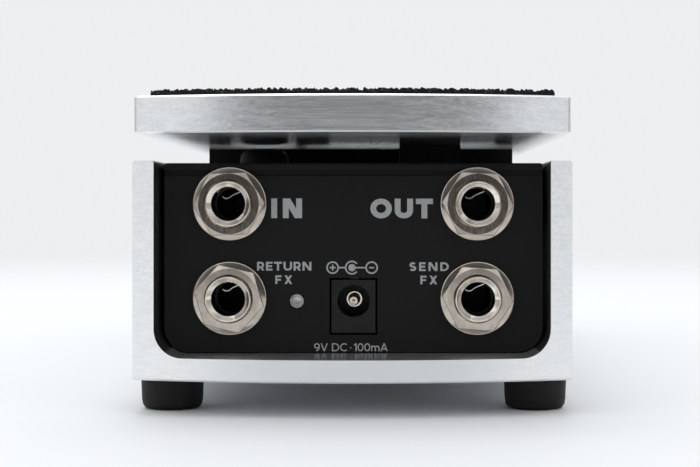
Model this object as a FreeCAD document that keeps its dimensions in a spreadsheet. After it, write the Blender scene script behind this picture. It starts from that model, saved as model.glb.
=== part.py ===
import FreeCAD, Part
import math
import os
import re

import Sketcher
from FreeCAD import Placement, Rotation, Vector
from fcgear import fcgear, involute

# A volume pedal: an open aluminium channel on four rubber feet, a jack tray at its toe end, and a
# treadle that rocks on a cross shaft and turns a potentiometer through a sector gear and a pinion.
# +X is to the right seen from the jacks, +Y runs from the toe to the heel, +Z is up, and the origin
# lies on the floor under the middle of the pedal.

doc = FreeCAD.newDocument("VolumePedal")

# ---------------------------------------------------------------- driving dimensions, millimetres

SIZES = {
    # channel
    "pedal_length": 254.0,
    "pedal_width": 88.9,
    "end_bulge": 7.5,  # how far each end's arc stands out at the middle
    "channel_height": 44.3,
    "wall_thickness": 4.5,
    "floor_thickness": 4.6,
    "inner_corner": 5.8,
    "heel_wall_height": 13.0,
    "edge_break": 0.35,  # the small chamfer on sawn and milled edges
    # feet
    "foot_height": 7.0,
    "foot_diameter": 13.1,
    "foot_side_inset": 6.55,
    "foot_end_inset": 12.4,
    # treadle
    "treadle_thickness": 7.6,
    "treadle_gap": 5.5,
    "treadle_side_margin": 0.25,
    "treadle_corner": 1.2,
    "grip_margin": 3.1,
    "grip_thickness": 1.5,
    # pivot
    "pivot_setback": 131.0,  # from the toe end to the shaft
    "pivot_drop": 6.3,  # from the top of the walls down to the shaft
    "shaft_diameter": 6.35,
    "shaft_socket": 3.0,
    "bushing_wall": 1.6,
    "bushing_flange": 0.9,
    "bushing_flange_diameter": 14.0,
    "running_fit": 0.05,
    "clip_diameter": 11.0,
    "clip_thickness": 0.8,
    "slope_start": 14.0,  # how far behind the shaft the walls begin to fall
    # treadle bracket
    "bracket_sheet": 1.9,
    "bracket_lip": 2.0,
    "bracket_length": 62.0,
    "tab_length": 26.0,
    "tab_drop": 9.0,
    "tab_clearance": 0.15,
    "bracket_screw": 4.0,
    "bracket_screw_head": 7.6,
    "bracket_screw_depth": 6.0,
    "bracket_screw_inset": 7.0,
    "bracket_screw_side": 11.0,
    # jack tray and lid
    "panel_recess": 10.0,
    "tray_pot_gap": 1.55,
    "tray_wall": 1.5,
    "tray_side_gap": 0.65,
    "tray_floor_gap": 0.2,
    "lid_drop": 0.2,
    "lid_thickness": 1.5,
    "lid_groove_height": 1.2,
    "lid_groove_depth": 0.8,
    "post_diameter": 4.4,
    "post_length": 12.0,
    "lid_screw": 2.5,
    "lid_screw_head": 4.6,
    "tray_screw": 3.0,
    "tray_screw_head": 5.6,
    "tray_screw_head_height": 1.9,
    "tray_boss": 7.0,
    "tray_boss_height": 2.4,
    "tray_screw_side": 12.0,
    "tray_screw_end_inset": 10.0,
    # quarter-inch jacks
    "jack_side_inset": 13.6,
    "upper_row_drop": 8.7,
    "lower_row_rise": 11.4,
    "jack_bore": 6.5,
    "jack_bore_depth": 30.0,
    "jack_thread": 9.5,
    "jack_reach": 4.7,  # how far the threaded bushing stands out of the panel
    "jack_rim_break": 0.5,
    "jack_seat": 4.0,  # how deep the bushing sits in its housing
    "jack_housing_width": 15.0,
    "jack_housing_depth": 26.0,
    "jack_housing_cover": 6.8,
    "jack_hole_gap": 0.15,
    "nut_across_flats": 13.0,
    "nut_thickness": 2.4,
    "washer_diameter": 15.4,
    "washer_thickness": 0.8,
    "spring_width": 2.4,
    "spring_sheet": 0.4,
    # circuit board
    "board_thickness": 1.6,
    "board_front_gap": 2.0,
    "board_back_gap": 7.0,
    # power inlet and status light
    "inlet_width": 9.1,
    "inlet_height": 11.0,
    "inlet_depth": 14.0,
    "inlet_bore": 6.8,
    "inlet_bore_depth": 9.5,
    "inlet_bore_rise": 1.1,
    "inlet_gap": 0.42,
    "inlet_pin": 2.0,
    "inlet_pin_setback": 0.9,
    "light_diameter": 3.0,
    "light_reach": 1.3,
    "light_side": 0.5,  # how far the lamp stands left of the middle of its space
    # potentiometer and gears
    "gear_module": 1.0,
    "pinion_teeth": 12.0,
    "sector_teeth": 72.0,  # of the whole circle that the sector is part of
    "sector_sheet": 3.0,
    "sector_hub": 14.0,
    "sector_hub_length": 9.0,
    "sector_side": 16.6,
    "pinion_face": 7.0,
    "pinion_hub": 11.0,
    "pinion_hub_length": 5.0,
    "pot_diameter": 24.0,
    "pot_length": 16.0,
    "pot_front": 10.2,
    "pot_floor_gap": 3.4,
    "pot_shaft_diameter": 6.0,
    "pot_bushing_diameter": 7.6,
    "pot_bushing_length": 7.0,
    "pot_nut_across_flats": 10.0,
    "pot_nut_thickness": 2.0,
    "pot_bracket_sheet": 1.5,
    "pot_bracket_foot": 16.0,
    "pot_bracket_screw_spacing": 16.0,
    "cable_diameter": 3.0,
    "cable_drop": 8.1,
    # bumpers
    "toe_bumper_diameter": 11.5,
    "toe_bumper_play": 1.0,
    "toe_pad_size": 14.3,
    "toe_pad_play": 0.15,
    "toe_bumper_inset": 10.0,
    "heel_bumper_diameter": 12.0,
    "heel_bumper_side": 20.0,
    "heel_bumper_inset": 12.0,
    "heel_bumper_play": 0.4,
}

# Places worked out from the driving dimensions.
PLACES = {
    "half_width": "Sizes.pedal_width / 2",
    "half_length": "Sizes.pedal_length / 2",
    "corner_y": "half_length - Sizes.end_bulge",
    "end_radius": "(half_width ^ 2 + Sizes.end_bulge ^ 2) / (2 * Sizes.end_bulge)",
    "floor_top": "Sizes.foot_height + Sizes.floor_thickness",
    "wall_top": "Sizes.foot_height + Sizes.channel_height",
    "bay_half": "half_width - Sizes.wall_thickness",
    "foot_x": "half_width - Sizes.foot_side_inset",
    "foot_y": "corner_y - Sizes.foot_end_inset",
    "treadle_bottom": "wall_top + Sizes.treadle_gap",
    "treadle_top": "treadle_bottom + Sizes.treadle_thickness",
    "treadle_half": "half_width - Sizes.treadle_side_margin",
    # pivot, and the fall of the walls that lets the heel down
    "pivot_y": "-half_length + Sizes.pivot_setback",
    "pivot_z": "wall_top - Sizes.pivot_drop",
    "slope_y": "pivot_y + Sizes.slope_start",
    "slope": "(Sizes.channel_height - Sizes.heel_wall_height) / (half_length - slope_y)",
    "rock_angle": "atan(slope)",
    "bushing_radius": "Sizes.shaft_diameter / 2 + Sizes.bushing_wall",
    "tab_outside": "bay_half - Sizes.bushing_flange - Sizes.tab_clearance",
    "tab_inside": "tab_outside - Sizes.bracket_sheet",
    "web_bottom": "treadle_bottom - Sizes.bracket_sheet",
    "bracket_screw_x": "tab_outside - Sizes.bracket_screw_side",
    "bracket_screw_y": "Sizes.bracket_length / 2 - Sizes.bracket_screw_inset",
    # potentiometer and gears
    "gear_distance": "Sizes.gear_module * (Sizes.sector_teeth + Sizes.pinion_teeth) / 2",
    "pot_z": "floor_top + Sizes.pot_floor_gap + Sizes.pot_diameter / 2",
    "mesh_angle": "asin((pivot_z - pot_z) / gear_distance)",
    "pot_y": "pivot_y - gear_distance * cos(mesh_angle)",
    # jack tray, which ends just short of the potentiometer
    "panel_y": "-corner_y + Sizes.panel_recess",
    "panel_back": "panel_y + Sizes.tray_wall",
    "tray_back": "pot_y - Sizes.pot_diameter / 2 - Sizes.tray_pot_gap",
    "tray_half": "bay_half - Sizes.tray_side_gap",
    "tray_bottom": "floor_top + Sizes.tray_floor_gap",
    "tray_floor_top": "tray_bottom + Sizes.tray_wall",
    "lid_top": "wall_top - Sizes.lid_drop",
    "lid_bottom": "lid_top - Sizes.lid_thickness",
    "post_x": "tray_half - Sizes.tray_wall - 0.45 * Sizes.post_diameter",
    "post_front_y": "panel_back + 0.45 * Sizes.post_diameter",
    "post_back_y": "tray_back - Sizes.tray_wall - 0.45 * Sizes.post_diameter",
    "tray_screw_front_y": "panel_back + Sizes.tray_screw_end_inset",
    "tray_screw_back_y": "tray_back - Sizes.tray_wall - Sizes.tray_screw_end_inset",
    # jacks and board
    "jack_x": "tray_half - Sizes.jack_side_inset",
    "upper_row": "wall_top - Sizes.upper_row_drop",
    "lower_row": "floor_top + Sizes.lower_row_rise",
    "board_middle": "(upper_row + lower_row) / 2",
    "board_top": "board_middle + Sizes.board_thickness / 2",
    "board_bottom": "board_middle - Sizes.board_thickness / 2",
    "board_half": "jack_x + Sizes.jack_housing_width / 2",
    "board_front": "panel_back + Sizes.board_front_gap",
    "board_back": "tray_back - Sizes.tray_wall - Sizes.board_back_gap",
    "jack_mouth": "panel_y - Sizes.jack_reach",
    # power inlet and light
    "inlet_bore_z": "lower_row - 0.6",
    "inlet_z": "inlet_bore_z - Sizes.inlet_bore_rise",
    "light_x": "-(jack_x - Sizes.washer_diameter / 2 + Sizes.inlet_width / 2) / 2 - Sizes.light_side",
    # cable
    "cable_x": "Sizes.pot_front + Sizes.pot_length / 2",
    "cable_z": "lid_bottom - Sizes.cable_drop",
    # bumpers
    "toe_bumper_y": "tray_back - Sizes.toe_bumper_inset",
    "heel_bumper_y": "corner_y - Sizes.heel_bumper_inset",
    "heel_bumper_top": (
        "pivot_z + (treadle_bottom - pivot_z) / cos(rock_angle) - Sizes.heel_bumper_play"
        " - slope * (heel_bumper_y + Sizes.heel_bumper_diameter / 2 - pivot_y)"
    ),
}


def fill_sheet(name, cells):
    """A spreadsheet with one named cell in each row."""
    sheet = doc.addObject("Spreadsheet::Sheet", name)
    for row, (alias, content) in enumerate(cells.items(), start=1):
        sheet.set(f"A{row}", alias)
        sheet.setAlias(f"B{row}", alias)
        sheet.set(f"B{row}", f"={content}" if isinstance(content, str) else str(content))
    doc.recompute()
    return sheet


sizes = fill_sheet("Sizes", SIZES)
places = fill_sheet("Places", PLACES)

# ---------------------------------------------------------------------------- drawing functions

# Turning a piece's own +Y, or a primitive's own +Z, to the way it points.
TURNED_ALONG = {
    "+X": Rotation(Vector(0, 0, 1), -90),
    "-X": Rotation(Vector(0, 0, 1), 90),
    "+Y": Rotation(),
    "-Y": Rotation(Vector(0, 0, 1), 180),
    "+Z": Rotation(Vector(1, 0, 0), 90),
    "-Z": Rotation(Vector(1, 0, 0), -90),
}
ROD_ALONG = {
    "+X": Rotation(Vector(0, 1, 0), 90),
    "+Y": Rotation(Vector(1, 0, 0), -90),
    "+Z": Rotation(),
}


def value(expression):
    """The number that an expression over the two sheets gives now."""
    result = doc.Places.evalExpression(expression)
    return float(getattr(result, "Value", result))


def full(expression):
    """The same expression with each place's sheet named, as other objects must write it."""
    return re.sub(
        r"(?<![\w.])[a-z]\w*",
        lambda word: f"Places.{word[0]}" if word[0] in PLACES else word[0],
        expression,
    )


def bind(item, **properties):
    """Ties properties of an object to the sheets."""
    for name, expression in properties.items():
        item.setExpression(name, full(expression))
    return item


def place(item, x="0", y="0", z="0", turn=None):
    """Puts an object at a point given by three expressions, turned as asked."""
    if turn:
        item.Placement = Placement(Vector(), turn)
    for axis, expression in zip("xyz", (x, y, z)):
        item.setExpression(f"Placement.Base.{axis}", full(expression))
    return item


def block(name, x, y, z, length, width, height):
    """A box from its lowest corner."""
    item = doc.addObject("Part::Box", name)
    bind(item, Length=length, Width=width, Height=height)
    return place(item, x, y, z)


def rod(name, along, radius, length, x, y, z):
    """A cylinder from the centre of its first face."""
    item = doc.addObject("Part::Cylinder", name)
    bind(item, Radius=radius, Height=length)
    return place(item, x, y, z, ROD_ALONG[along])


def prism(name, along, across_flats, length, x, y, z, twist=0.0):
    """A hexagonal bar from the centre of its first face, twisted about its own axis."""
    item = doc.addObject("Part::Prism", name)
    item.Polygon = 6
    bind(item, Circumradius=f"( {across_flats} ) / sqrt( 3 )", Height=length)
    return place(item, x, y, z, ROD_ALONG[along] * Rotation(Vector(0, 0, 1), twist))


def cut(name, base, *tools):
    """One solid with others taken away."""
    item = doc.addObject("Part::Cut", name)
    item.Base = base
    item.Tool = tools[0] if len(tools) == 1 else fuse(f"{name}_tools", *tools)
    return item


def fuse(name, *pieces):
    """Several solids joined into one."""
    item = doc.addObject("Part::MultiFuse", name)
    item.Shapes = list(pieces)
    return item


def common(name, first, second):
    """What two solids share."""
    item = doc.addObject("Part::MultiCommon", name)
    item.Shapes = [first, second]
    return item


def several(name, *pieces):
    """Like pieces that stay separate solids in one node."""
    item = doc.addObject("Part::Compound", name)
    item.Links = list(pieces)
    return item


def sketch_on(body, name, plane, lift="0"):
    """A sketch on one of the body's own origin planes, lifted along the plane's normal."""
    sketch = body.newObject("Sketcher::SketchObject", name)
    support = [feature for feature in body.Origin.OriginFeatures if feature.Role == plane]
    sketch.AttachmentSupport = [(support[0], "")]
    sketch.MapMode = "FlatFace"
    sketch.setExpression("AttachmentOffset.Base.z", full(lift))
    return sketch


def hold(sketch, geometry, point, x, y):
    """Dimensions one point of a sketch from its origin."""
    for kind, expression in (("DistanceX", x), ("DistanceY", y)):
        number = value(expression)
        constraint = sketch.addConstraint(
            Sketcher.Constraint(kind, -1, 1, geometry, point, number)
        )
        sketch.setExpression(f"Constraints[{constraint}]", full(expression))


def outline(sketch, *corners):
    """A closed outline of straight lines through corners, each a pair of expressions."""
    points = [Vector(value(x), value(y), 0) for x, y in corners]
    first = sketch.GeometryCount
    for start, end in zip(points, points[1:] + points[:1]):
        sketch.addGeometry(Part.LineSegment(start, end), False)
    for index, (x, y) in enumerate(corners):
        following = first + (index + 1) % len(corners)
        sketch.addConstraint(Sketcher.Constraint("Coincident", first + index, 2, following, 1))
        hold(sketch, first + index, 1, x, y)


def rectangle(sketch, x_low, x_high, y_low, y_high):
    """A rectangle between four expressions."""
    outline(sketch, (x_low, y_low), (x_high, y_low), (x_high, y_high), (x_low, y_high))


def circle(sketch, radius, x, y):
    """A dimensioned circle."""
    centre = Vector(value(x), value(y), 0)
    geometry = sketch.addGeometry(Part.Circle(centre, Vector(0, 0, 1), value(radius)), False)
    number = sketch.addConstraint(Sketcher.Constraint("Radius", geometry, value(radius)))
    sketch.setExpression(f"Constraints[{number}]", full(radius))
    hold(sketch, geometry, 3, x, y)


def bowed_outline(sketch, inset):
    """The pedal's outline in plan, with bowed ends, moved inwards by an expression."""
    half_width = f"half_width - ( {inset} )"
    half_length = f"half_length - ( {inset} )"
    radius = f"end_radius - ( {inset} )"
    drop = f"({radius}) - sqrt(({radius}) ^ 2 - ({half_width}) ^ 2)"
    corner = f"({half_length}) - ({drop})"
    centre = f"({half_length}) - ({radius})"
    x, y = value(half_width), value(corner)
    r, c = value(radius), value(centre)
    lean = math.atan2(y - c, x)
    up = Vector(0, 0, 1)
    arcs = (
        Part.ArcOfCircle(Part.Circle(Vector(0, c, 0), up, r), lean, math.pi - lean),
        Part.ArcOfCircle(Part.Circle(Vector(0, -c, 0), up, r), math.pi + lean, -lean),
    )
    sketch.addGeometry(Part.LineSegment(Vector(x, -y, 0), Vector(x, y, 0)), False)
    sketch.addGeometry(arcs[0], False)
    sketch.addGeometry(Part.LineSegment(Vector(-x, y, 0), Vector(-x, -y, 0)), False)
    sketch.addGeometry(arcs[1], False)
    for end, start in ((0, 1), (1, 2), (2, 3), (3, 0)):
        sketch.addConstraint(Sketcher.Constraint("Coincident", end, 2, start, 1))
    hold(sketch, 0, 1, half_width, f"-({corner})")
    hold(sketch, 0, 2, half_width, corner)
    hold(sketch, 2, 1, f"-({half_width})", corner)
    hold(sketch, 2, 2, f"-({half_width})", f"-({corner})")
    for arc in (1, 3):
        number = sketch.addConstraint(Sketcher.Constraint("Radius", arc, r))
        sketch.setExpression(f"Constraints[{number}]", full(radius))


def pad(body, name, sketch, length, down=False):
    """Raises a sketch into a solid, along its normal or against it."""
    feature = body.newObject("PartDesign::Pad", name)
    feature.Profile = sketch
    feature.Reversed = down
    bind(feature, Length=length)
    doc.recompute()
    return feature


def pocket(body, name, sketch, depth=None, up=False):
    """Cuts a sketch into a solid: right through both ways, or to a depth one way."""
    before = body.Shape.Volume
    feature = body.newObject("PartDesign::Pocket", name)
    feature.Profile = sketch
    if depth:
        feature.Reversed = up
        bind(feature, Length=depth)
    else:
        feature.Type = "ThroughAll"
        feature.Midplane = True
    doc.recompute()
    if body.Shape.Volume > before - 1e-6:
        raise ValueError(f"{body.Label}: {name} cuts nothing")
    return feature


def edges_where(body, test):
    """The names of the edges of a body's tip that a test of their box picks."""
    edges = enumerate(body.Tip.Shape.Edges, start=1)
    return [f"Edge{number}" for number, edge in edges if test(edge.BoundBox, edge)]


def dress(body, name, kind, size, test):
    """A fillet or a chamfer on the edges that a test picks."""
    edges = edges_where(body, test)
    if not edges:
        raise ValueError(f"{body.Label}: {name} finds no edge")
    base = body.Tip
    feature = body.newObject(f"PartDesign::{kind}", name)
    feature.Base = (base, edges)
    bind(feature, **{"Radius" if kind == "Fillet" else "Size": size})
    doc.recompute()
    return feature


def turned(name, profile, along, x, y, z):
    """A lathe-turned piece: corners are pairs of radius and distance along its axis."""
    body = doc.addObject("PartDesign::Body", name)
    sketch = sketch_on(body, f"{name}_profile", "XY_Plane")
    outline(sketch, *profile)
    feature = body.newObject("PartDesign::Revolution", f"{name}_turn")
    feature.Profile = sketch
    feature.ReferenceAxis = (sketch, ["V_Axis"])
    feature.Angle = 360
    doc.recompute()
    return place(body, x, y, z, TURNED_ALONG[along])


def near(a, b):
    """Whether two lengths are the same to a hundredth of a millimetre."""
    return abs(a - b) < 0.01


def screw(name, along, head_radius, head_height, radius, length, x, y, z, socket):
    """A cap screw with a hexagonal socket. The point is under its head, and the shank goes along."""
    sign = along[0]
    axis = along[1].lower()
    back = dict(x=x, y=y, z=z)
    back[axis] = f"( {back[axis]} ) {'-' if sign == '+' else '+'} ( {head_height} )"
    profile = (
        ("0", "0"),
        (f"{head_radius} - 0.3", "0"),
        (head_radius, "0.3"),
        (head_radius, head_height),
        (radius, head_height),
        (radius, f"{head_height} + {length} - 0.4"),
        (f"{radius} - 0.4", f"{head_height} + {length}"),
        ("0", f"{head_height} + {length}"),
    )
    blank = turned(f"{name}_blank", profile, along, back["x"], back["y"], back["z"])
    start = dict(back)
    if sign == "-":
        start[axis] = f"( {start[axis]} ) - 0.6 * ( {head_height} )"
    else:
        start[axis] = f"( {start[axis]} ) - 1"
    depth = f"1 + 0.6 * ( {head_height} )"
    recess = prism(f"{name}_recess", f"+{along[1]}", socket, depth, start["x"], start["y"], start["z"])
    return cut(name, blank, recess)


# ------------------------------------------------------------------------------- base channel


def base_channel():
    """The thick channel extrusion: bowed ends, and walls that fall away behind the pivot."""
    body = doc.addObject("PartDesign::Body", "base_channel")
    plan = sketch_on(body, "channel_plan", "XY_Plane", "Sizes.foot_height")
    bowed_outline(plan, "0")
    pad(body, "channel_blank", plan, "Sizes.channel_height")
    bay = sketch_on(body, "channel_bay", "XZ_Plane")
    rectangle(bay, "-bay_half", "bay_half", "floor_top", "wall_top + 1")
    pocket(body, "channel_bay_cut", bay)
    dress(
        body, "channel_corners", "Fillet", "Sizes.inner_corner",
        lambda box, edge: near(abs(box.XMin), value("bay_half")) and near(box.ZMax, value("floor_top"))
        and box.YLength > 50,
    )
    fall = sketch_on(body, "channel_fall", "YZ_Plane")
    outline(
        fall,
        ("slope_y", "wall_top"),
        ("half_length + 1", "wall_top - slope * (half_length + 1 - slope_y)"),
        ("half_length + 1", "wall_top + 1"),
        ("slope_y", "wall_top + 1"),
    )
    pocket(body, "channel_fall_cut", fall)
    pivot = sketch_on(body, "channel_pivot", "YZ_Plane")
    circle(pivot, "bushing_radius", "pivot_y", "pivot_z")
    pocket(body, "channel_pivot_holes", pivot)
    feet = sketch_on(body, "channel_foot_holes", "XY_Plane", "Sizes.foot_height")
    for x_sign in ("-", "+"):
        for y_sign in ("-", "+"):
            circle(feet, "1.55", f"{x_sign} foot_x", f"{y_sign} foot_y")
    pocket(body, "channel_foot_taps", feet, "Sizes.floor_thickness - 0.6", up=True)
    shank = sketch_on(body, "channel_screw_holes", "XY_Plane", "Sizes.foot_height")
    heads = sketch_on(body, "channel_screw_heads", "XY_Plane", "Sizes.foot_height")
    for x, y in FLOOR_SCREWS:
        circle(shank, "Sizes.tray_screw / 2 + 0.1", x, y)
        circle(heads, "Sizes.tray_screw_head / 2 + 0.25", x, y)
    pocket(body, "channel_screw_drills", shank, "Sizes.floor_thickness + 1", up=True)
    pocket(body, "channel_counterbores", heads, "Sizes.tray_screw_head_height + 0.3", up=True)
    top = value("wall_top")
    low = value("Sizes.foot_height")
    dress(
        body, "channel_edges", "Chamfer", "Sizes.edge_break",
        lambda box, edge: (near(box.ZMin, top) and near(box.ZMax, top) and box.YLength > 50)
        or (near(box.ZMax, low) and box.XLength + box.YLength > 50),
    )
    return body


TRAY_SCREWS = [
    (f"{sign} Sizes.tray_screw_side", y)
    for sign in ("-", "+")
    for y in ("tray_screw_front_y", "tray_screw_back_y")
]
BRACKET_SCREW_X = "Sizes.pot_front - Sizes.pot_bracket_foot / 2 - Sizes.pot_bracket_sheet"
POT_BRACKET_SCREWS = [
    (BRACKET_SCREW_X, f"pot_y {sign} Sizes.pot_bracket_screw_spacing / 2") for sign in ("-", "+")
]
FLOOR_SCREWS = TRAY_SCREWS + POT_BRACKET_SCREWS


def foot(name, x, y):
    """A round rubber foot, a little narrower at the floor, with a sunk screw seat."""
    radius = "Sizes.foot_diameter / 2"
    body = turned(
        name,
        (
            ("3.1", "0"),
            (f"{radius} - 1.7", "0"),
            (f"{radius} - 0.9", "0.25"),
            (f"{radius} - 0.4", "0.9"),
            (f"{radius} - 0.2", "2.0"),
            (radius, "Sizes.foot_height"),
            ("1.6", "Sizes.foot_height"),
            ("1.6", "3"),
            ("3.1", "3"),
        ),
        "+Z", x, y, "0",
    )
    return body


# --------------------------------------------------------------------------- jack tray and lid


def jack_tray():
    """The folded tray behind the walls' toe end, open at the top, with every panel hole."""
    body = doc.addObject("PartDesign::Body", "jack_tray")
    outside = sketch_on(body, "tray_outside", "XY_Plane", "tray_bottom")
    rectangle(outside, "-tray_half", "tray_half", "panel_y", "tray_back")
    pad(body, "tray_blank", outside, "lid_bottom - tray_bottom")
    hollow = sketch_on(body, "tray_hollow", "XY_Plane", "tray_floor_top")
    side = "tray_half - Sizes.tray_wall"
    rectangle(hollow, f"-({side})", side, "panel_back", "tray_back - Sizes.tray_wall")
    pocket(body, "tray_hollow_cut", hollow, "lid_bottom - tray_floor_top + 1", up=True)
    inner_low = value("tray_floor_top")
    inner_half = value(side)
    dress(
        body, "tray_inner_corners", "Fillet",
        "Sizes.inner_corner - Sizes.tray_side_gap - Sizes.tray_wall",
        lambda box, edge: near(abs(box.XMin), inner_half) and near(box.ZMax, inner_low)
        and box.YLength > 20,
    )
    low = value("tray_bottom")
    half = value("tray_half")
    dress(
        body, "tray_corners", "Fillet", "Sizes.inner_corner - Sizes.tray_side_gap",
        lambda box, edge: near(abs(box.XMin), half) and near(box.ZMax, low) and box.YLength > 20,
    )
    posts = sketch_on(body, "tray_posts", "XY_Plane", "lid_bottom")
    for x_sign in ("-", "+"):
        for y in ("post_front_y", "post_back_y"):
            circle(posts, "Sizes.post_diameter / 2", f"{x_sign} post_x", y)
    pad(body, "tray_post_pads", posts, "Sizes.post_length", down=True)
    bosses = sketch_on(body, "tray_bosses", "XY_Plane", "tray_floor_top - 0.5")
    drills = sketch_on(body, "tray_boss_drills", "XY_Plane", "tray_bottom")
    for x, y in TRAY_SCREWS:
        circle(bosses, "Sizes.tray_boss / 2", x, y)
        circle(drills, "Sizes.tray_screw / 2 + 0.05", x, y)
    pad(body, "tray_boss_pads", bosses, "Sizes.tray_boss_height + 0.5")
    pocket(body, "tray_boss_holes", drills, "Sizes.tray_wall + Sizes.tray_boss_height + 1", up=True)
    taps = sketch_on(body, "tray_post_taps", "XY_Plane", "lid_bottom")
    for x_sign in ("-", "+"):
        for y in ("post_front_y", "post_back_y"):
            circle(taps, "Sizes.lid_screw / 2 + 0.05", f"{x_sign} post_x", y)
    pocket(body, "tray_post_holes", taps, "9")
    # XZ_Plane faces -Y, so a lift of minus y puts the sketch at y.
    panel = sketch_on(body, "panel_holes", "XZ_Plane", "-panel_y + 1")
    for x_sign in ("-", "+"):
        for row in ("upper_row", "lower_row"):
            circle(panel, "Sizes.jack_thread / 2 + Sizes.jack_hole_gap", f"{x_sign} jack_x", row)
    circle(panel, "Sizes.light_diameter / 2 + 0.1", "light_x", "inlet_bore_z")
    inlet_half = "Sizes.inlet_width / 2 + Sizes.inlet_gap"
    inlet_tall = "Sizes.inlet_height / 2 + Sizes.inlet_gap"
    rectangle(
        panel, f"-({inlet_half})", inlet_half, f"inlet_z - ({inlet_tall})", f"inlet_z + ({inlet_tall})"
    )
    pocket(body, "panel_hole_cuts", panel, "Sizes.tray_wall + 2")
    groove = sketch_on(body, "panel_groove", "XZ_Plane", "-panel_y + 1")
    rectangle(
        groove, "-tray_half - 1", "tray_half + 1",
        "lid_bottom - Sizes.lid_groove_height", "lid_bottom + 1",
    )
    pocket(body, "panel_groove_cut", groove, "Sizes.lid_groove_depth + 1")
    back = sketch_on(body, "tray_cable_hole", "XZ_Plane", "-tray_back - 1")
    circle(back, "Sizes.cable_diameter / 2 + 1.5", "cable_x", "cable_z")
    pocket(body, "tray_cable_cut", back, "Sizes.tray_wall + 2", up=True)
    return body


def tray_lid():
    """The flat cover of the tray, with four screw holes and a stiffening lip behind."""
    body = doc.addObject("PartDesign::Body", "tray_lid")
    plate = sketch_on(body, "lid_plate", "XY_Plane", "lid_bottom")
    rectangle(plate, "-tray_half", "tray_half", "panel_y", "tray_back")
    pad(body, "lid_blank", plate, "Sizes.lid_thickness")
    lip = sketch_on(body, "lid_lip", "XY_Plane", "lid_bottom + 0.5")
    lip_half = "tray_half - Sizes.tray_wall - Sizes.post_diameter - 1"
    rectangle(
        lip, f"-({lip_half})", "cable_x - 7",
        "tray_back - 2 * Sizes.tray_wall - 0.3", "tray_back - Sizes.tray_wall - 0.3",
    )
    pad(body, "lid_lip_pad", lip, "4.5", down=True)
    holes = sketch_on(body, "lid_holes", "XY_Plane", "lid_top")
    for x_sign in ("-", "+"):
        for y in ("post_front_y", "post_back_y"):
            circle(holes, "Sizes.lid_screw / 2 + 0.2", f"{x_sign} post_x", y)
    pocket(body, "lid_hole_cuts", holes, "Sizes.lid_thickness + 1")
    dress(
        body, "lid_edges", "Chamfer", "Sizes.edge_break",
        lambda box, edge: near(box.ZMin, value("lid_top")) and box.XLength + box.YLength > 20,
    )
    dress(
        body, "lid_countersinks", "Chamfer", "Sizes.lid_screw_head / 2 - Sizes.lid_screw / 2 - 0.1",
        lambda box, edge: near(box.ZMin, value("lid_top")) and box.XLength + box.YLength < 7,
    )
    return body


def lid_screws():
    """Four countersunk screws, flush with the lid, that hold it to the tray's corner posts."""
    head = "Sizes.lid_screw_head / 2"
    radius = "Sizes.lid_screw / 2"
    length = "Sizes.lid_thickness + 7"
    profile = (
        ("0", "0"),
        (head, "0"),
        (head, "0.1"),
        (radius, f"0.1 + {head} - {radius}"),
        (radius, f"{length} - 0.4"),
        (f"{radius} - 0.4", length),
        ("0", length),
    )
    screws = []
    for x_sign in ("-", "+"):
        for y in ("post_front_y", "post_back_y"):
            name = f"lid_screw_{len(screws) + 1}"
            x = f"{x_sign} post_x"
            blank = turned(f"{name}_blank", profile, "-Z", x, y, "lid_top")
            recess = prism(f"{name}_recess", "+Z", "1.5", "1.8", x, y, "lid_top - 0.8")
            screws.append(cut(name, blank, recess))
    return several("lid_screws", *screws)


def floor_screws(name, points, length):
    """Screws sunk in the channel's underside that hold a piece down from inside."""
    screws = []
    for x, y in points:
        screws.append(
            screw(
                f"{name}_{len(screws) + 1}", "+Z", "Sizes.tray_screw_head / 2",
                "Sizes.tray_screw_head_height", "Sizes.tray_screw / 2", length,
                x, y, "Sizes.foot_height + Sizes.tray_screw_head_height + 0.3", "2",
            )
        )
    return several(name, *screws)


# ------------------------------------------------------------------------------------- jacks


def jack_housing(name, x, row, cover_side):
    """The moulded body of one jack, with its blind bore and a side slot for the tip spring."""
    to_board = "(upper_row - lower_row - Sizes.board_thickness) / 2"
    cover = "Sizes.jack_housing_cover"
    below, above = (to_board, cover) if cover_side == "up" else (cover, to_board)
    half = "Sizes.jack_housing_width / 2"
    case = block(
        f"{name}_case", f"{x} - {half}", "panel_back", f"{row} - {below}",
        "Sizes.jack_housing_width", "Sizes.jack_housing_depth", f"{below} + {above}",
    )
    bore = rod(
        f"{name}_bore", "+Y", "Sizes.jack_bore / 2", "Sizes.jack_bore_depth", x, "jack_mouth", row
    )
    seat = rod(
        f"{name}_seat", "+Y", "Sizes.jack_thread / 2", "Sizes.jack_seat + 1", x, "panel_back - 1", row
    )
    slot = block(
        f"{name}_slot", f"{x} - Sizes.jack_bore / 2 - 2", "panel_back + Sizes.jack_seat + 1",
        f"{row} - Sizes.spring_width / 2 - 0.2", "Sizes.jack_bore / 2 + 2",
        "Sizes.jack_bore_depth - Sizes.jack_reach - Sizes.tray_wall - Sizes.jack_seat - 2",
        "Sizes.spring_width + 0.4",
    )
    return cut(name, case, bore, seat, slot)


def jack_bushing(name, x, row):
    """The threaded metal bushing that the nut clamps on the panel, with a bevelled mouth."""
    outer = "Sizes.jack_thread / 2"
    inner = "Sizes.jack_bore / 2"
    rim = "Sizes.jack_rim_break"
    end = "Sizes.jack_reach + Sizes.tray_wall + Sizes.jack_seat"
    profile = (
        (f"{inner} + 0.6 * {rim}", "0"),
        (f"{outer} - {rim}", "0"),
        (outer, rim),
        (outer, end),
        (inner, end),
        (inner, f"0.6 * {rim}"),
    )
    return turned(name, profile, "+Y", x, "jack_mouth", row)


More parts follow.
